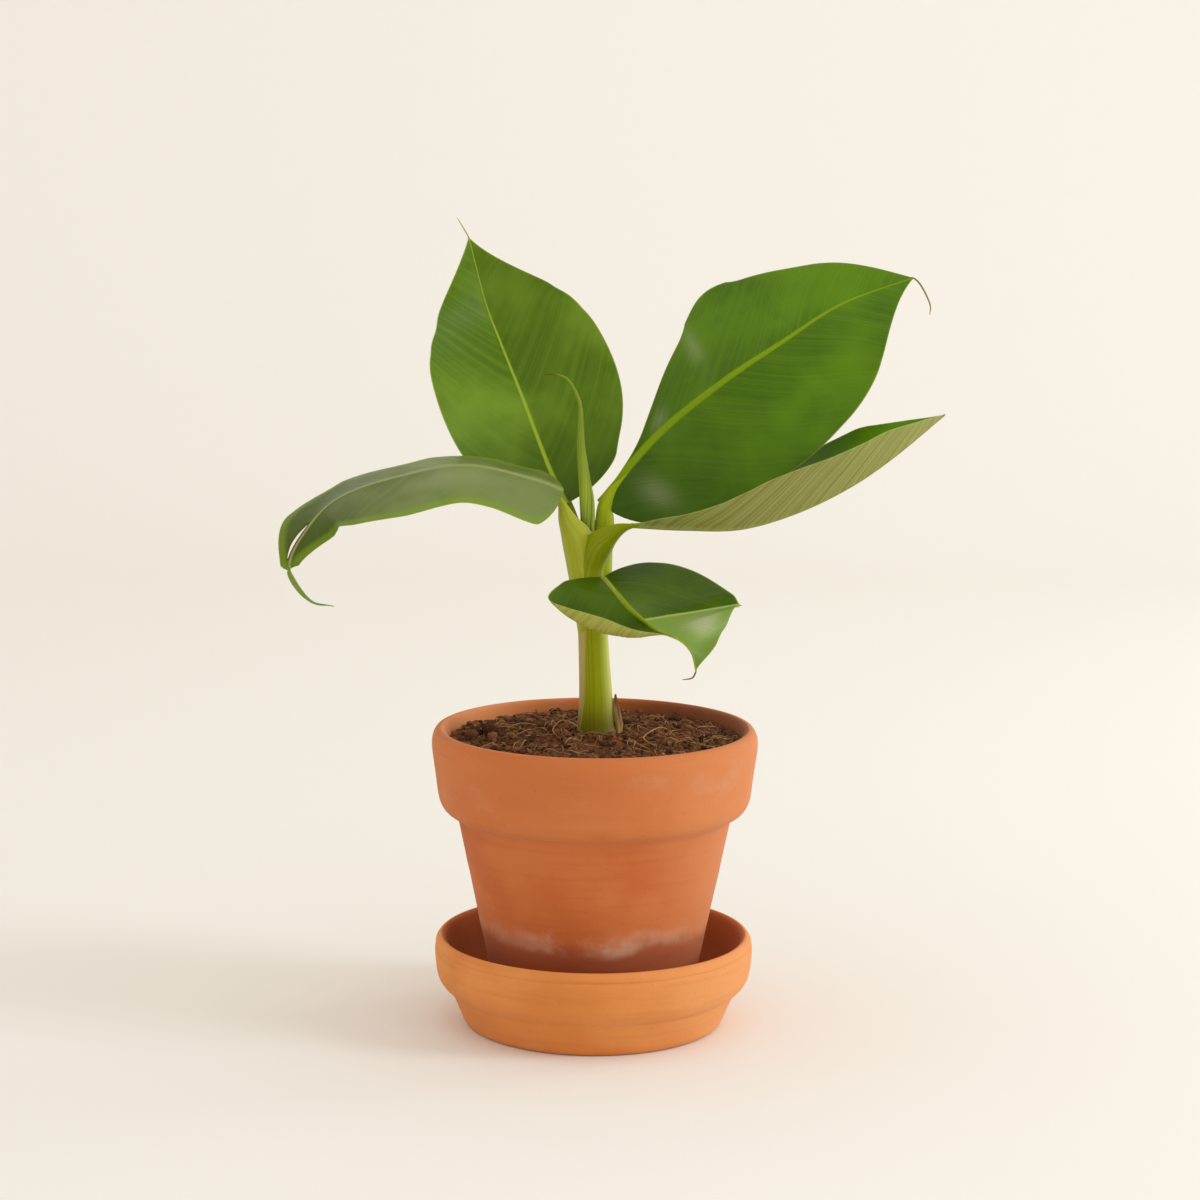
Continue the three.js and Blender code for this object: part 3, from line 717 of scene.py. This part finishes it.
# ---- stalks: each is a sheath that clasps the stem below and a channelled stalk above ----
def sheath(stations, out, rings=90, arc=34):
    """Crescent-sectioned limb. Stations are (x, y, z, radius, wrap in degrees, keel thickness)."""
    stations = np.asarray(stations, float)
    t = np.linspace(0, 1, rings)
    centre, ahead = along(stations[:, :3], t), tangents(stations[:, :3], t)
    radius, wrap, keel = (along(stations[:, k], t) for k in (3, 4, 5))
    keel_way = np.asarray(out, float)
    if keel_way.ndim > 1:
        keel_way = along(keel_way, t)
    else:
        keel_way = np.broadcast_to(keel_way, centre.shape)
    keel_way = unit(keel_way - ahead * np.sum(keel_way * ahead, 1, keepdims=True))
    lateral = np.cross(ahead, keel_way)
    share = np.linspace(-1, 1, arc)
    outer_share = np.concatenate([share, share[::-1]])
    inner = np.concatenate([np.zeros(arc), np.ones(arc)])
    vertices = np.zeros((rings, 2 * arc, 3))
    for i in range(rings):
        a = np.radians(wrap[i]) * outer_share
        thick = keel[i] * (1 - outer_share**2) ** 0.8 + 0.35
        r = radius[i] * (1 + 0.006 * np.sin(40 * outer_share)) - inner * np.minimum(thick, radius[i] * 0.96)
        spread_out = (np.cos(a) * r)[:, None] * keel_way[i] + (np.sin(a) * r)[:, None] * lateral[i]
        vertices[i] = centre[i] + spread_out
    loop = 2 * arc
    faces = ring_faces(rings, loop)
    for start in (0, (rings - 1) * loop):
        for k in range(arc - 1):
            faces.append((start + k, start + k + 1, start + loop - 2 - k, start + loop - 1 - k))
    marks = {"height": np.repeat(t, loop), "turn": np.tile(outer_share, rings)}
    return vertices.reshape(-1, 3), faces, marks


def stalk_material(name, low, high, edge):
    """Green from low to high along the stalk, with ribs and margins in the edge colour."""
    m = Shader(name, roughness=0.38, Specular_IOR_Level=0.12)
    turn = m.attribute("turn")
    ribs = m.streaks(turn, 9.0, detail=4.0)
    color = m.mix(m.attribute("height"), low, high)
    color = m.mix(m.ramp(ribs, 0.4, 0.7, 0.0, 0.45), color, edge)
    color = m.tint(color, m.ramp(m.math("ABSOLUTE", turn), 0.86, 0.98), 0.4, edge)
    flecks = m.noise(260, detail=3, vector=m.stretch((1, 1, 0.3)))
    color = m.mix(m.ramp(flecks, 0.6, 0.8, 0.0, 0.35), color, low)
    m.bump(ribs, 0.00025, 0.5)
    return m.finish(color)


# ---- leaves ----
# Sizes as in the part's source: midrib points and the side that a leaf faces, and for each half, at
# even steps from base to tip, its width, the angle at which it leaves the midrib, its further curl to
# the margin and its sweep toward the tip. A blade that turns sharply has the turn evened out over
# the even_turn share of its length.
LEAVES = {
    "front": dict(
        midrib=[(3, -10, 195), (8, -22, 191), (13, -34, 187), (18, -45, 184), (25, -52, 180),
                (34, -56, 176.5), (39, -57, 171.5), (41, -57, 163.5)],
        face=(0.3, -0.55, 1),
        left=dict(half=[14, 22, 32, 40, 44, 44, 42, 30, 21, 10, 3], angle=[22, 20, 13, 4, 2, 6, 20],
                  curl=[0, 0], sweep=[-30, -27, -20, -8, 2, 12, 20, 21, 16, 6, -5]),
        right=dict(half=[13, 25, 37, 22, 2, 1, 1], angle=[4, -8, -55, -85, 30, 30, 30],
                   curl=[0, 22, 105, 180, 0, 0, 0], sweep=[-5, -14, -18, -15, 0, 0, 0]),
        tip_share=0.15, tail=[(39.5, -57.5, 161), (35.5, -58, 160.4)], tail_r=0.35, even_turn=0.05),
    "lower_right": dict(
        midrib=[(15, -13, 218), (37, -22, 218), (60, -27, 219), (83, -29, 226), (105, -30, 237),
                (124, -28, 250), (144, -22, 266)],
        face=(-0.25, 0, 1),
        left=dict(half=[3, 8, 24, 40, 36, 26, 13], angle=[14, 8, 22, 30], curl=[4, 11]),
        right=dict(half=[2, 10, 22, 31, 30, 25, 17], angle=[40, 40, 34, 34], curl=[3, 3]),
        tip_share=0.2, tail=None),
    "left": dict(
        midrib=[(-14, -1, 231), (-27, -3, 236), (-55, -7, 242), (-83, -8, 237), (-106, -8, 229),
                (-119, -10, 218), (-128, -20, 201), (-120, -17, 186), (-110, -16, 183)],
        face=(0, 0, 1),
        left=dict(half=[26, 27, 25, 30, 28, 16, 4, 3, 2], angle=[-38, -25, -15, -30], curl=[-10, -3]),
        right=dict(half=[11, 13, 15, 22, 24, 18, 4, 3, 2], angle=[18, 6, 8, -14], curl=[4, -2]),
        tip_share=0.2, tail=None),
    "right": dict(
        midrib=[(1, 7, 225), (26, 8, 254), (53, 3, 277), (77, 6, 293), (103, 14, 309), (134, 21, 320)],
        face=(-0.4, -0.8, 0.5),
        left=dict(half=[0, 6, 32, 47, 41, 24, 17], angle=[5, -6, -2, 2], curl=[-4, -5]),
        right=dict(half=[32, 40, 48, 49, 44, 31, 11], angle=[-2, -14, -4, 12], curl=[-10, -2]),
        tip_share=0.2, tail=[(137.5, 21, 316.5), (141.2, 20.5, 309), (141.2, 20.5, 304.5)], tail_r=0.4),
    "back": dict(
        midrib=[(-13, 9, 224), (-21, 23, 239), (-32, 34, 266), (-42, 46, 289), (-49, 50, 307),
                (-56, 44, 335)],
        face=(0, -1, 0.5),
        left=dict(half=[16, 29, 39, 40, 34, 25, 11], angle=[10, 18, 24, 22], curl=[8, 14]),
        right=dict(half=[22, 32, 42, 42, 36, 27, 9], angle=[6, 14, 14, 14], curl=[0, 4]),
        tip_share=0.2, tail=[(-58.5, 43, 339.5), (-61, 42.5, 343.5)], tail_r=0.3),
}
# the tear in the left leaf: from and to along its length, and how far it gapes
TEAR_FROM, TEAR_TO, TEAR_GAPE = 0.63, 0.735, 1.5
BASE_ROUNDING, TIP_FULLNESS = 0.12, 0.9
BASE_LEAST_HALF, TIP_LEAST_HALF = 1.2, 0.35
TAIL_FROM = 0.985
ROWS, COLUMNS = 170, 26
# how far back a vein starts for each mm from the midrib, and how it bends on
VEIN_LEAN, VEIN_BEND = 0.95, 0.006
HALVES_APART = 400
SKIN, PLEAT, RIB_ABOVE, RIB_BELOW = 0.2, 0.16, 0.12, 1.25


def half_width(side, t, tip_share):
    base = np.sqrt(1 - (1 - np.minimum(t / BASE_ROUNDING, 1)) ** 2)
    tip = np.sin(math.pi / 2 * np.clip((1 - t) / tip_share, 0, 1)) ** TIP_FULLNESS
    return np.maximum(along(side["half"], t) * base * tip, np.where(t < 0.5, BASE_LEAST_HALF, TIP_LEAST_HALF))


def half_blade(leaf, side, sign, t, shares):
    """Points across one half, from the midrib out, at shares of the half-width (rows by columns)."""
    rib, ahead = along(leaf["midrib"], t), tangents(leaf["midrib"], t, leaf.get("even_turn", 0.004))
    right = unit(np.cross(ahead, leaf["face"]))
    up = np.cross(right, ahead)
    width = half_width(side, t, leaf["tip_share"])
    start, curl = np.radians(along(side["angle"], t)), np.radians(along(side["curl"], t))
    sweep = np.radians(along(side.get("sweep", [0, 0]), t))[:, None]
    middle = (shares[:, 1:] + shares[:, :-1]) / 2
    step = np.diff(shares, axis=1) * width[:, None]
    reach = step * np.cos(sweep)
    angle = start[:, None] + curl[:, None] * middle
    move = sign * (reach * np.cos(angle))[..., None] * right[:, None]
    move += (reach * np.sin(angle))[..., None] * up[:, None]
    move += (step * np.sin(sweep))[..., None] * ahead[:, None]
    points = rib[:, None] + np.concatenate([np.zeros_like(move[:, :1]), np.cumsum(move, 1)], 1)
    return points, width


def spread(columns):
    """Shares from 0 to 1, closer together at the midrib and at the margin."""
    x = np.linspace(0, 1, columns + 1)
    return x - 0.12 * np.sin(2 * math.pi * x)


def through_tear(t):
    """How far along the tear t is: 0 at its start, 1 at its end."""
    return (t - TEAR_FROM) / (TEAR_TO - TEAR_FROM)


def torn_shares(leaf, t):
    """Shares across the torn half, with a strip left at the midrib, and the gap beyond it."""
    width = half_width(leaf["right"], t, leaf["tip_share"])
    near = np.minimum(1.2 / width, 0.3)
    gape = (0.25 + TEAR_GAPE * np.sin(math.pi * np.clip(through_tear(t), 0, 1))) / width
    gap = np.where((t > TEAR_FROM) & (t < TEAR_TO), gape, 0)
    outer = np.maximum(np.minimum(3.8 / width, 0.5), near + gap + 0.03)
    rest = np.linspace(0, 1, COLUMNS - 3)
    shares = [
        np.outer(near, [0, 0.34, 0.67, 1]), (near + gap)[:, None],
        outer[:, None] + (1 - outer)[:, None] * rest[None, :],
    ]
    return np.concatenate(shares, 1), gap


def sheet_faces(rows, columns, cut=None, closed=None):
    """Quads of a grid of points, open before the column cut except in the closed rows."""
    index = np.arange(rows * columns).reshape(rows, columns)
    if cut:
        index[closed, cut] = index[closed, cut - 1]
    strips = [
        np.stack([index[:-1, j], index[:-1, j + 1], index[1:, j + 1], index[1:, j]], 1)
        for j in range(columns - 1) if j + 1 != cut
    ]
    return np.concatenate(strips)


def sheet_normals(points, faces, facing):
    """Unit normals of the points, on the side that the leaf faces."""
    cross = np.cross(points[faces[:, 2]] - points[faces[:, 0]], points[faces[:, 3]] - points[faces[:, 1]])
    normal = np.zeros_like(points)
    for k in range(4):
        np.add.at(normal, faces[:, k], cross)
    normal = unit(normal + 1e-12)
    return -normal if np.mean(normal @ unit(np.asarray(facing, float))) < 0 else normal


def margin_edges(faces):
    """The edges that belong to one face only, in order."""
    edges = dict.fromkeys((face[k], face[(k + 1) % 4]) for face in faces.tolist() for k in range(4))
    return [(a, b) for a, b in edges if (b, a) not in edges]


def blade(name, leaf, seed, ruffle, rib_size, sheen_spots):
    """The blade as a thin closed sheet, with the numbers that its material paints by."""
    t = np.linspace(0, 1, ROWS + 1)
    runs = np.linalg.norm(np.diff(along(leaf["midrib"], t), axis=0), axis=1)
    plain = np.tile(spread(COLUMNS), (len(t), 1))
    torn = name == "left"
    right_shares, gap = torn_shares(leaf, t) if torn else (plain, None)
    left, left_width = half_blade(leaf, leaf["left"], -1, t, plain)
    right, right_width = half_blade(leaf, leaf["right"], 1, t, right_shares)
    grid = np.concatenate([left[:, :0:-1], right], 1)
    shares = np.concatenate([-plain[:, :0:-1], right_shares], 1)
    widths = np.where(shares < 0, left_width[:, None], right_width[:, None])
    faces = sheet_faces(*shares.shape, COLUMNS + 4, gap <= 0) if torn else sheet_faces(*shares.shape)
    used, faces = np.unique(faces, return_inverse=True)
    faces = faces.reshape(-1, 4)
    p = grid.reshape(-1, 3)[used]
    run = np.repeat(np.concatenate([[0], np.cumsum(runs)]), shares.shape[1])[used]
    reach = np.repeat(t, shares.shape[1])[used]
    across, width = shares.reshape(-1)[used], widths.reshape(-1)[used]
    out = np.abs(across) * width
    normal = sheet_normals(p, faces, leaf["face"])
    vein = run - VEIN_LEAN * out - VEIN_BEND * out**2 + HALVES_APART * (across > 0)
    rib_r = np.maximum(rib_size * (1 - reach) ** 0.8, 0.35)
    rib = np.exp(-((out / rib_r) ** 2))
    rib_below = RIB_BELOW * np.maximum(1 - reach, 0.1) * np.exp(-((out / (rib_r * 0.8)) ** 2))
    # corrugation along the veins and a slight ruffle of the margin
    fade = np.clip(out / 4, 0, 1) * np.clip((width - out) / 2, 0.3, 1)
    pleat = line_noise(vein / 3.1, seed, 0) + 0.6 * line_noise(vein / 1.4, seed, 3)
    wave = line_noise((run + 60 * np.sign(across)) / 14, seed + 4, 0)
    lift = PLEAT * pleat * fade + ruffle * wave * (out / width) ** 3 * np.clip(width / 10, 0, 1)
    p = p + normal * lift[:, None]
    skin = SKIN * np.clip((width - out) / 1.2, 0.35, 1)
    upper = p + normal * (skin + RIB_ABOVE * rib)[:, None]
    lower = p - normal * (skin + rib_below)[:, None]
    count = len(p)
    both_sides = faces.tolist() + (faces[:, ::-1] + count).tolist()
    both_sides += [(b, a, a + count, b + count) for a, b in margin_edges(faces)]
    bloom = np.zeros(count)
    for at, over, reach_t, reach_a, strength in sheen_spots:
        bloom += strength * np.exp(-(((reach - at) / reach_t) ** 2) - ((across - over) / reach_a) ** 2)
    torn_edge = np.zeros(count)
    if torn:
        u = through_tear(reach)
        torn_edge = np.exp(-(((out - 0.9) / 0.8) ** 2)) * (across > 0) * ((u > 0.1) & (u < 1.05))
    dry = np.clip((reach - TAIL_FROM) / (1 - TAIL_FROM), 0, 1)
    marks = {
        "vein": vein, "rib": rib, "edge": width - out, "bloom": bloom, "dry": dry, "torn": torn_edge,
        "reach": reach, "across": across,
    }
    marks = {key: np.tile(values, 2) for key, values in marks.items()}
    marks["under"] = np.repeat([0.0, 1.0], count)
    parts = [(np.concatenate([upper, lower]), both_sides, marks)]
    if leaf["tail"]:
        start = along(leaf["midrib"], TAIL_FROM)[0]
        line = np.array([start, leaf["midrib"][-1], *leaf["tail"]], float)
        v, f = strand(line, leaf["tail_r"], 8, 0.35)
        parts.append((v, f, {"dry": np.linspace(0.3, 1.2, len(v)), "vein": 0, "edge": 5, "reach": 1}))
    return join_parts(parts)


MARGIN = srgb(170, 178, 92)


def blade_material(name, dark, mid, rib, under, roughness, veins=0.22, base_shade=0.5,
                   tip=srgb(122, 92, 52), rim_glow=0.0, tip_dark=None, lit_droop=None):
    """Upper side from dark to mid, underside in the two under colours. tip_dark is a colour toward which the
    far end turns; lit_droop is painted light, a paler colour for the part past the bend, with a painted
    highlight along its crease."""
    m = Shader(name, roughness=roughness, Specular_IOR_Level=0.14)
    vein, edge = m.attribute("vein"), m.attribute("edge")
    below = m.attribute("under")
    cloud = m.noise(26, detail=3)
    fine = m.streaks(vein, 2.6, detail=4.0)
    broad = m.streaks(vein, 0.23, detail=2.0)
    color = m.mix(m.ramp(cloud, 0.36, 0.68), dark, mid)
    color = m.mix(m.ramp(broad, 0.38, 0.7, 0.0, 0.35), color, mid)
    color = m.mix(m.ramp(fine, 0.52, 0.78, 0.0, veins), color, MARGIN)
    color = m.mix(m.ramp(fine, 0.48, 0.24, 0.0, 0.25), color, dark)
    reach = m.attribute("reach")
    # painted shade: each blade darkens toward its base, where the leaves above shade it
    base_shade_color = tuple(channel * 0.55 for channel in dark)
    color = m.mix(m.ramp(reach, 0.4, 0.0, 0.0, base_shade), color, base_shade_color)
    if tip_dark:
        color = m.mix(m.ramp(reach, 0.4, 0.62, 0.0, 0.8), color, tip_dark)
    # painted light: the part past the bend is made paler, and a painted highlight runs along its crease
    if lit_droop:
        across = m.attribute("across")
        far_half = m.ramp(across, 0.02, -0.02)
        fold = m.math("ADD", reach, m.math("MULTIPLY", m.noise(40), 0.02))
        fold = m.math("ADD", fold, m.math("MULTIPLY", across, 0.05))
        past = m.math("MULTIPLY", m.ramp(fold, 0.462, 0.472), far_half)
        color = m.tint(color, past, m.ramp(reach, 1.0, 0.7, 0.45, 0.9), lit_droop)
        crease_highlight = m.math("MULTIPLY", past, m.ramp(fold, 0.492, 0.476))
        color = m.tint(color, crease_highlight, 0.6, srgb(176, 188, 116))
    # painted sheen: whitish streaky patches where the leaf's gloss catches the light
    streaky = m.ramp(m.streaks(vein, 3.2, 3.0), 0.34, 0.62)
    bloom = m.math("MULTIPLY", m.attribute("bloom"), streaky, clamp=True)
    color = m.tint(color, bloom, 0.85, srgb(184, 186, 150))
    color = m.mix(m.ramp(m.attribute("rib"), 0.25, 0.8), color, rib)
    stripe = m.streaks(vein, 0.42, detail=2.0)
    lower = m.mix(m.ramp(stripe, 0.42, 0.6), under[0], under[1])
    lower = m.mix(m.ramp(fine, 0.5, 0.78, 0.0, 0.25), lower, MARGIN)
    lower = m.mix(m.ramp(m.attribute("rib"), 0.35, 0.9, 0.0, 0.6), lower, under[0])
    color = m.mix(below, color, lower)
    color = m.mix(m.ramp(edge, 0.55, 0.12, 0.0, 0.8), color, MARGIN)
    if rim_glow:
        color = m.tint(color, m.ramp(edge, 5.5, 2.0), rim_glow, srgb(122, 152, 30))
    color = m.mix(m.ramp(m.attribute("torn"), 0.25, 0.8, 0.0, 0.85), color, srgb(116, 62, 40))
    color = m.mix(m.ramp(m.attribute("dry"), 0.2, 1.0), color, tip)
    uneven = m.ramp(m.noise(60, detail=3), 0.3, 0.7, roughness - 0.05, roughness + 0.08)
    rough = m.math("ADD", m.math("MULTIPLY", below, 0.22), uneven)
    m.bump(m.math("ADD", fine, m.math("MULTIPLY", broad, 0.5)), 0.00016, 0.45)
    return m.finish(color, rough)


PLAIN_UNDER = (srgb(140, 146, 80), srgb(120, 124, 60))
LOOKS = {
    # the front leaf's droop colour is painted light on the part past the fold
    "front": dict(
        dark=srgb(54, 84, 0), mid=srgb(78, 108, 0), rib=srgb(134, 156, 22), roughness=0.34,
        under=(srgb(172, 174, 84), srgb(156, 158, 68)), veins=0.14, lit_droop=srgb(122, 150, 60)),
    "lower_right": dict(
        dark=srgb(74, 122, 0), mid=srgb(92, 140, 0), rib=srgb(132, 160, 20), roughness=0.42,
        under=(srgb(150, 156, 86), srgb(132, 132, 64)), veins=0.14),
    # painted sheen: the left leaf's grey-green dark and mid colours stand in for the glancing sheen on its
    # upper side
    "left": dict(
        dark=srgb(90, 106, 50), mid=srgb(118, 134, 76), rib=srgb(142, 154, 92), roughness=0.36,
        under=(srgb(140, 146, 92), srgb(120, 124, 70)), base_shade=0, rim_glow=0.6,
        tip_dark=srgb(66, 86, 14)),
    "right": dict(
        dark=srgb(66, 104, 0), mid=srgb(90, 132, 6), rib=srgb(122, 154, 0), roughness=0.33,
        under=PLAIN_UNDER, base_shade=0.75, tip=srgb(150, 134, 70)),
    "back": dict(
        dark=srgb(78, 110, 6), mid=srgb(112, 144, 36), rib=srgb(156, 178, 48), roughness=0.42,
        under=PLAIN_UNDER, veins=0.10, base_shade=0.8, tip=srgb(178, 166, 124)),
}
# each blade's noise seed, ruffle and rib radius, and its whitish painted sheen spots: where along and across,
# how far they reach along and across, and their strength
SURFACES = {
    "front": dict(seed=1.0, ruffle=0.15, rib_size=1.7, sheen_spots=[(0.66, -0.52, 0.08, 0.24, 1.6)]),
    "lower_right": dict(seed=2.0, ruffle=0.5, rib_size=1.9, sheen_spots=[]),
    "left": dict(seed=3.0, ruffle=0.5, rib_size=1.9, sheen_spots=[(0.3, -0.3, 0.1, 0.25, 0.35)]),
    "right": dict(seed=4.0, ruffle=0.4, rib_size=2.5, sheen_spots=[
        (0.10, 0.5, 0.03, 0.25, 0.45), (0.22, -0.4, 0.025, 0.3, 0.4), (0.38, -0.7, 0.025, 0.25, 0.5)]),
    "back": dict(seed=5.0, ruffle=0.3, rib_size=1.35, sheen_spots=[]),
}
for name, leaf in LEAVES.items():
    piece = mesh_object(f"blade_{name}", *blade(name, leaf, **SURFACES[name]))
    nodes = ("leaf_left", "leaf_left_tip") if name == "left" else (f"leaf_{name}",)
    slot = "blade_pale" if name == "left" else "blade"
    place(piece, slot, blade_material(f"blade_{name}", **LOOKS[name]), *nodes)


STALKS = {
    "front": dict(
        stations=[
            (-1.4, 0, 171, 5.4, 150, 1.0), (-1.5, -0.4, 178, 6.9, 140, 1.2), (-0.2, -3.4, 185, 5.4, 80, 2.0),
            (1.8, -8.0, 191, 3.0, 75, 1.6), (3.2, -10.8, 193.6, 2.0, 80, 1.4), (8, -22, 190.2, 1.2, 80, 1.0),
        ],
        out=(0.15, -1, 0), low=srgb(132, 138, 20), high=srgb(146, 160, 44), edge=srgb(176, 180, 84)),
    "lower_right": dict(
        stations=[
            (-1.2, -0.2, 168, 5.6, 150, 1.0), (-1.6, -1.0, 184, 7.0, 158, 1.2),
            (-2.2, -3.4, 198, 5.6, 158, 1.6), (1.4, -5.4, 208.5, 6.0, 150, 2.0),
            (6.4, -8.1, 214.5, 4.5, 116, 2.0), (11.4, -10.8, 217.8, 3.2, 94, 1.8),
            (16.5, -14.0, 218.6, 1.6, 85, 1.2), (21, -16.6, 219.2, 0.7, 85, 0.5),
        ],
        out=(0.75, -0.55, -0.25), low=srgb(124, 132, 0), high=srgb(132, 150, 0), edge=srgb(160, 170, 44)),
    "left": dict(
        stations=[
            (-1.6, 0, 168, 5.6, 150, 1.0), (-2.8, -0.4, 184, 7.0, 150, 1.2), (-5.6, -1.2, 199, 6.9, 150, 1.6),
            (-7.8, -1.8, 210.5, 6.9, 150, 2.0), (-11.2, -1.8, 218.5, 5.0, 120, 2.0),
            (-13.9, -1.2, 226, 2.9, 90, 1.8), (-19, -1.8, 231.4, 2.2, 85, 1.5),
            (-28, -3.1, 234.0, 1.5, 85, 1.2),
        ],
        out=(-1, -0.25, -0.2), low=srgb(162, 168, 36), high=srgb(162, 170, 40), edge=srgb(190, 192, 96)),
    "right": dict(
        stations=[
            (-1.2, 0.6, 176, 6.0, 150, 1.0), (0.6, 2.4, 192, 6.0, 120, 2.4), (2.0, 3.8, 206, 5.0, 150, 3.4),
            (3.4, 4.2, 216, 4.2, 150, 3.4), (3.8, 5.4, 223.5, 3.3, 140, 2.8),
            (7.2, 7.8, 230.4, 2.6, 110, 2.2), (15, 8.8, 239.8, 2.0, 85, 1.7), (26, 8.4, 252.2, 1.2, 85, 1.0),
        ],
        out=[(-0.2, -1, 0.1), (0, -1, 0), (0.3, -1, -0.1), (0.9, -0.3, -0.3), (0.5, 0.8, -0.3)],
        low=srgb(150, 164, 0), high=srgb(146, 166, 4), edge=srgb(176, 188, 52)),
    "back": dict(
        stations=[
            (-2.2, 0.8, 176, 6.6, 150, 1.0), (-3.8, 3.0, 192, 5.8, 120, 1.2), (-6.6, 5.4, 206, 4.4, 100, 1.5),
            (-10.2, 7.8, 216, 3.2, 90, 1.6), (-12.8, 9.6, 223.6, 2.6, 88, 1.6),
            (-16.4, 15.6, 230.2, 2.2, 85, 1.5), (-21, 24.4, 239.0, 1.3, 85, 1.0),
        ],
        out=(-0.15, 1, -0.3), low=srgb(130, 142, 20), high=srgb(122, 142, 24), edge=srgb(166, 176, 66)),
}
for name, stalk in STALKS.items():
    piece = mesh_object(f"stalk_sheath_{name}", *sheath(stalk["stations"], stalk["out"]))
    skin = stalk_material(f"stalk_skin_{name}", stalk["low"], stalk["high"], stalk["edge"])
    place(piece, "stalk", skin, f"stalk_{name}")


# ---- rolled leaf ----
SPEAR = [
    (-3.6, 1.0, 186, 2.4), (-4.2, 1.2, 200.3, 2.8), (-3.8, 1.2, 214, 2.9), (-4.3, 1.2, 226, 3.0),
    (-5.3, 1.3, 234.5, 2.4), (-6.6, 1.4, 247, 1.9), (-6.9, 1.4, 257, 1.4), (-7.1, 1.4, 266, 0.9),
    (-9.2, 1.4, 272.5, 0.7), (-12.8, 1.4, 277.8, 0.5), (-17.5, 1.4, 279.6, 0.32), (-22, 1.4, 279.7, 0.2),
]


def roll_start(t):
    """Angle of the roll's outer edge, which winds round the leaf as it rises."""
    return math.radians(250) + 5.2 * t


def roll_shape(t, turn):
    return 0.94 + 0.22 * (1 - after(turn, roll_start(t))) ** 2


def roll_material():
    m = Shader("rolled_leaf", roughness=0.45, Specular_IOR_Level=0.15)
    wrap, height = m.attribute("wrap"), m.attribute("height")
    lines = m.streaks(wrap, 26.0, detail=3.0)
    color = m.mix(m.ramp(lines, 0.38, 0.66), srgb(126, 148, 34), srgb(166, 182, 68))
    # painted shade: the upper part of the roll is darkened
    color = m.mix(m.ramp(height, 0.3, 0.5, 0.0, 0.5), color, srgb(96, 122, 14))
    color = m.mix(m.ramp(wrap, 0.12, 0.0, 0.0, 0.8), color, srgb(182, 188, 92))
    # painted shade: a dark band on the inner layer just under the overlapping outer edge
    color = m.mix(m.ramp(wrap, 0.9, 1.0, 0.0, 0.7), color, srgb(84, 104, 20))
    color = m.mix(m.ramp(height, 0.86, 0.95), color, srgb(112, 70, 40))
    m.bump(lines, 0.0002, 0.5)
    return m.finish(color)


vertices, faces, t, turn = limb(SPEAR, 190, 72, roll_shape)
marks = {"wrap": after(turn, roll_start(t)), "height": t}
place(mesh_object("rolled_leaf_spear", vertices, faces, marks), "rolled_leaf", roll_material(), "rolled_leaf")
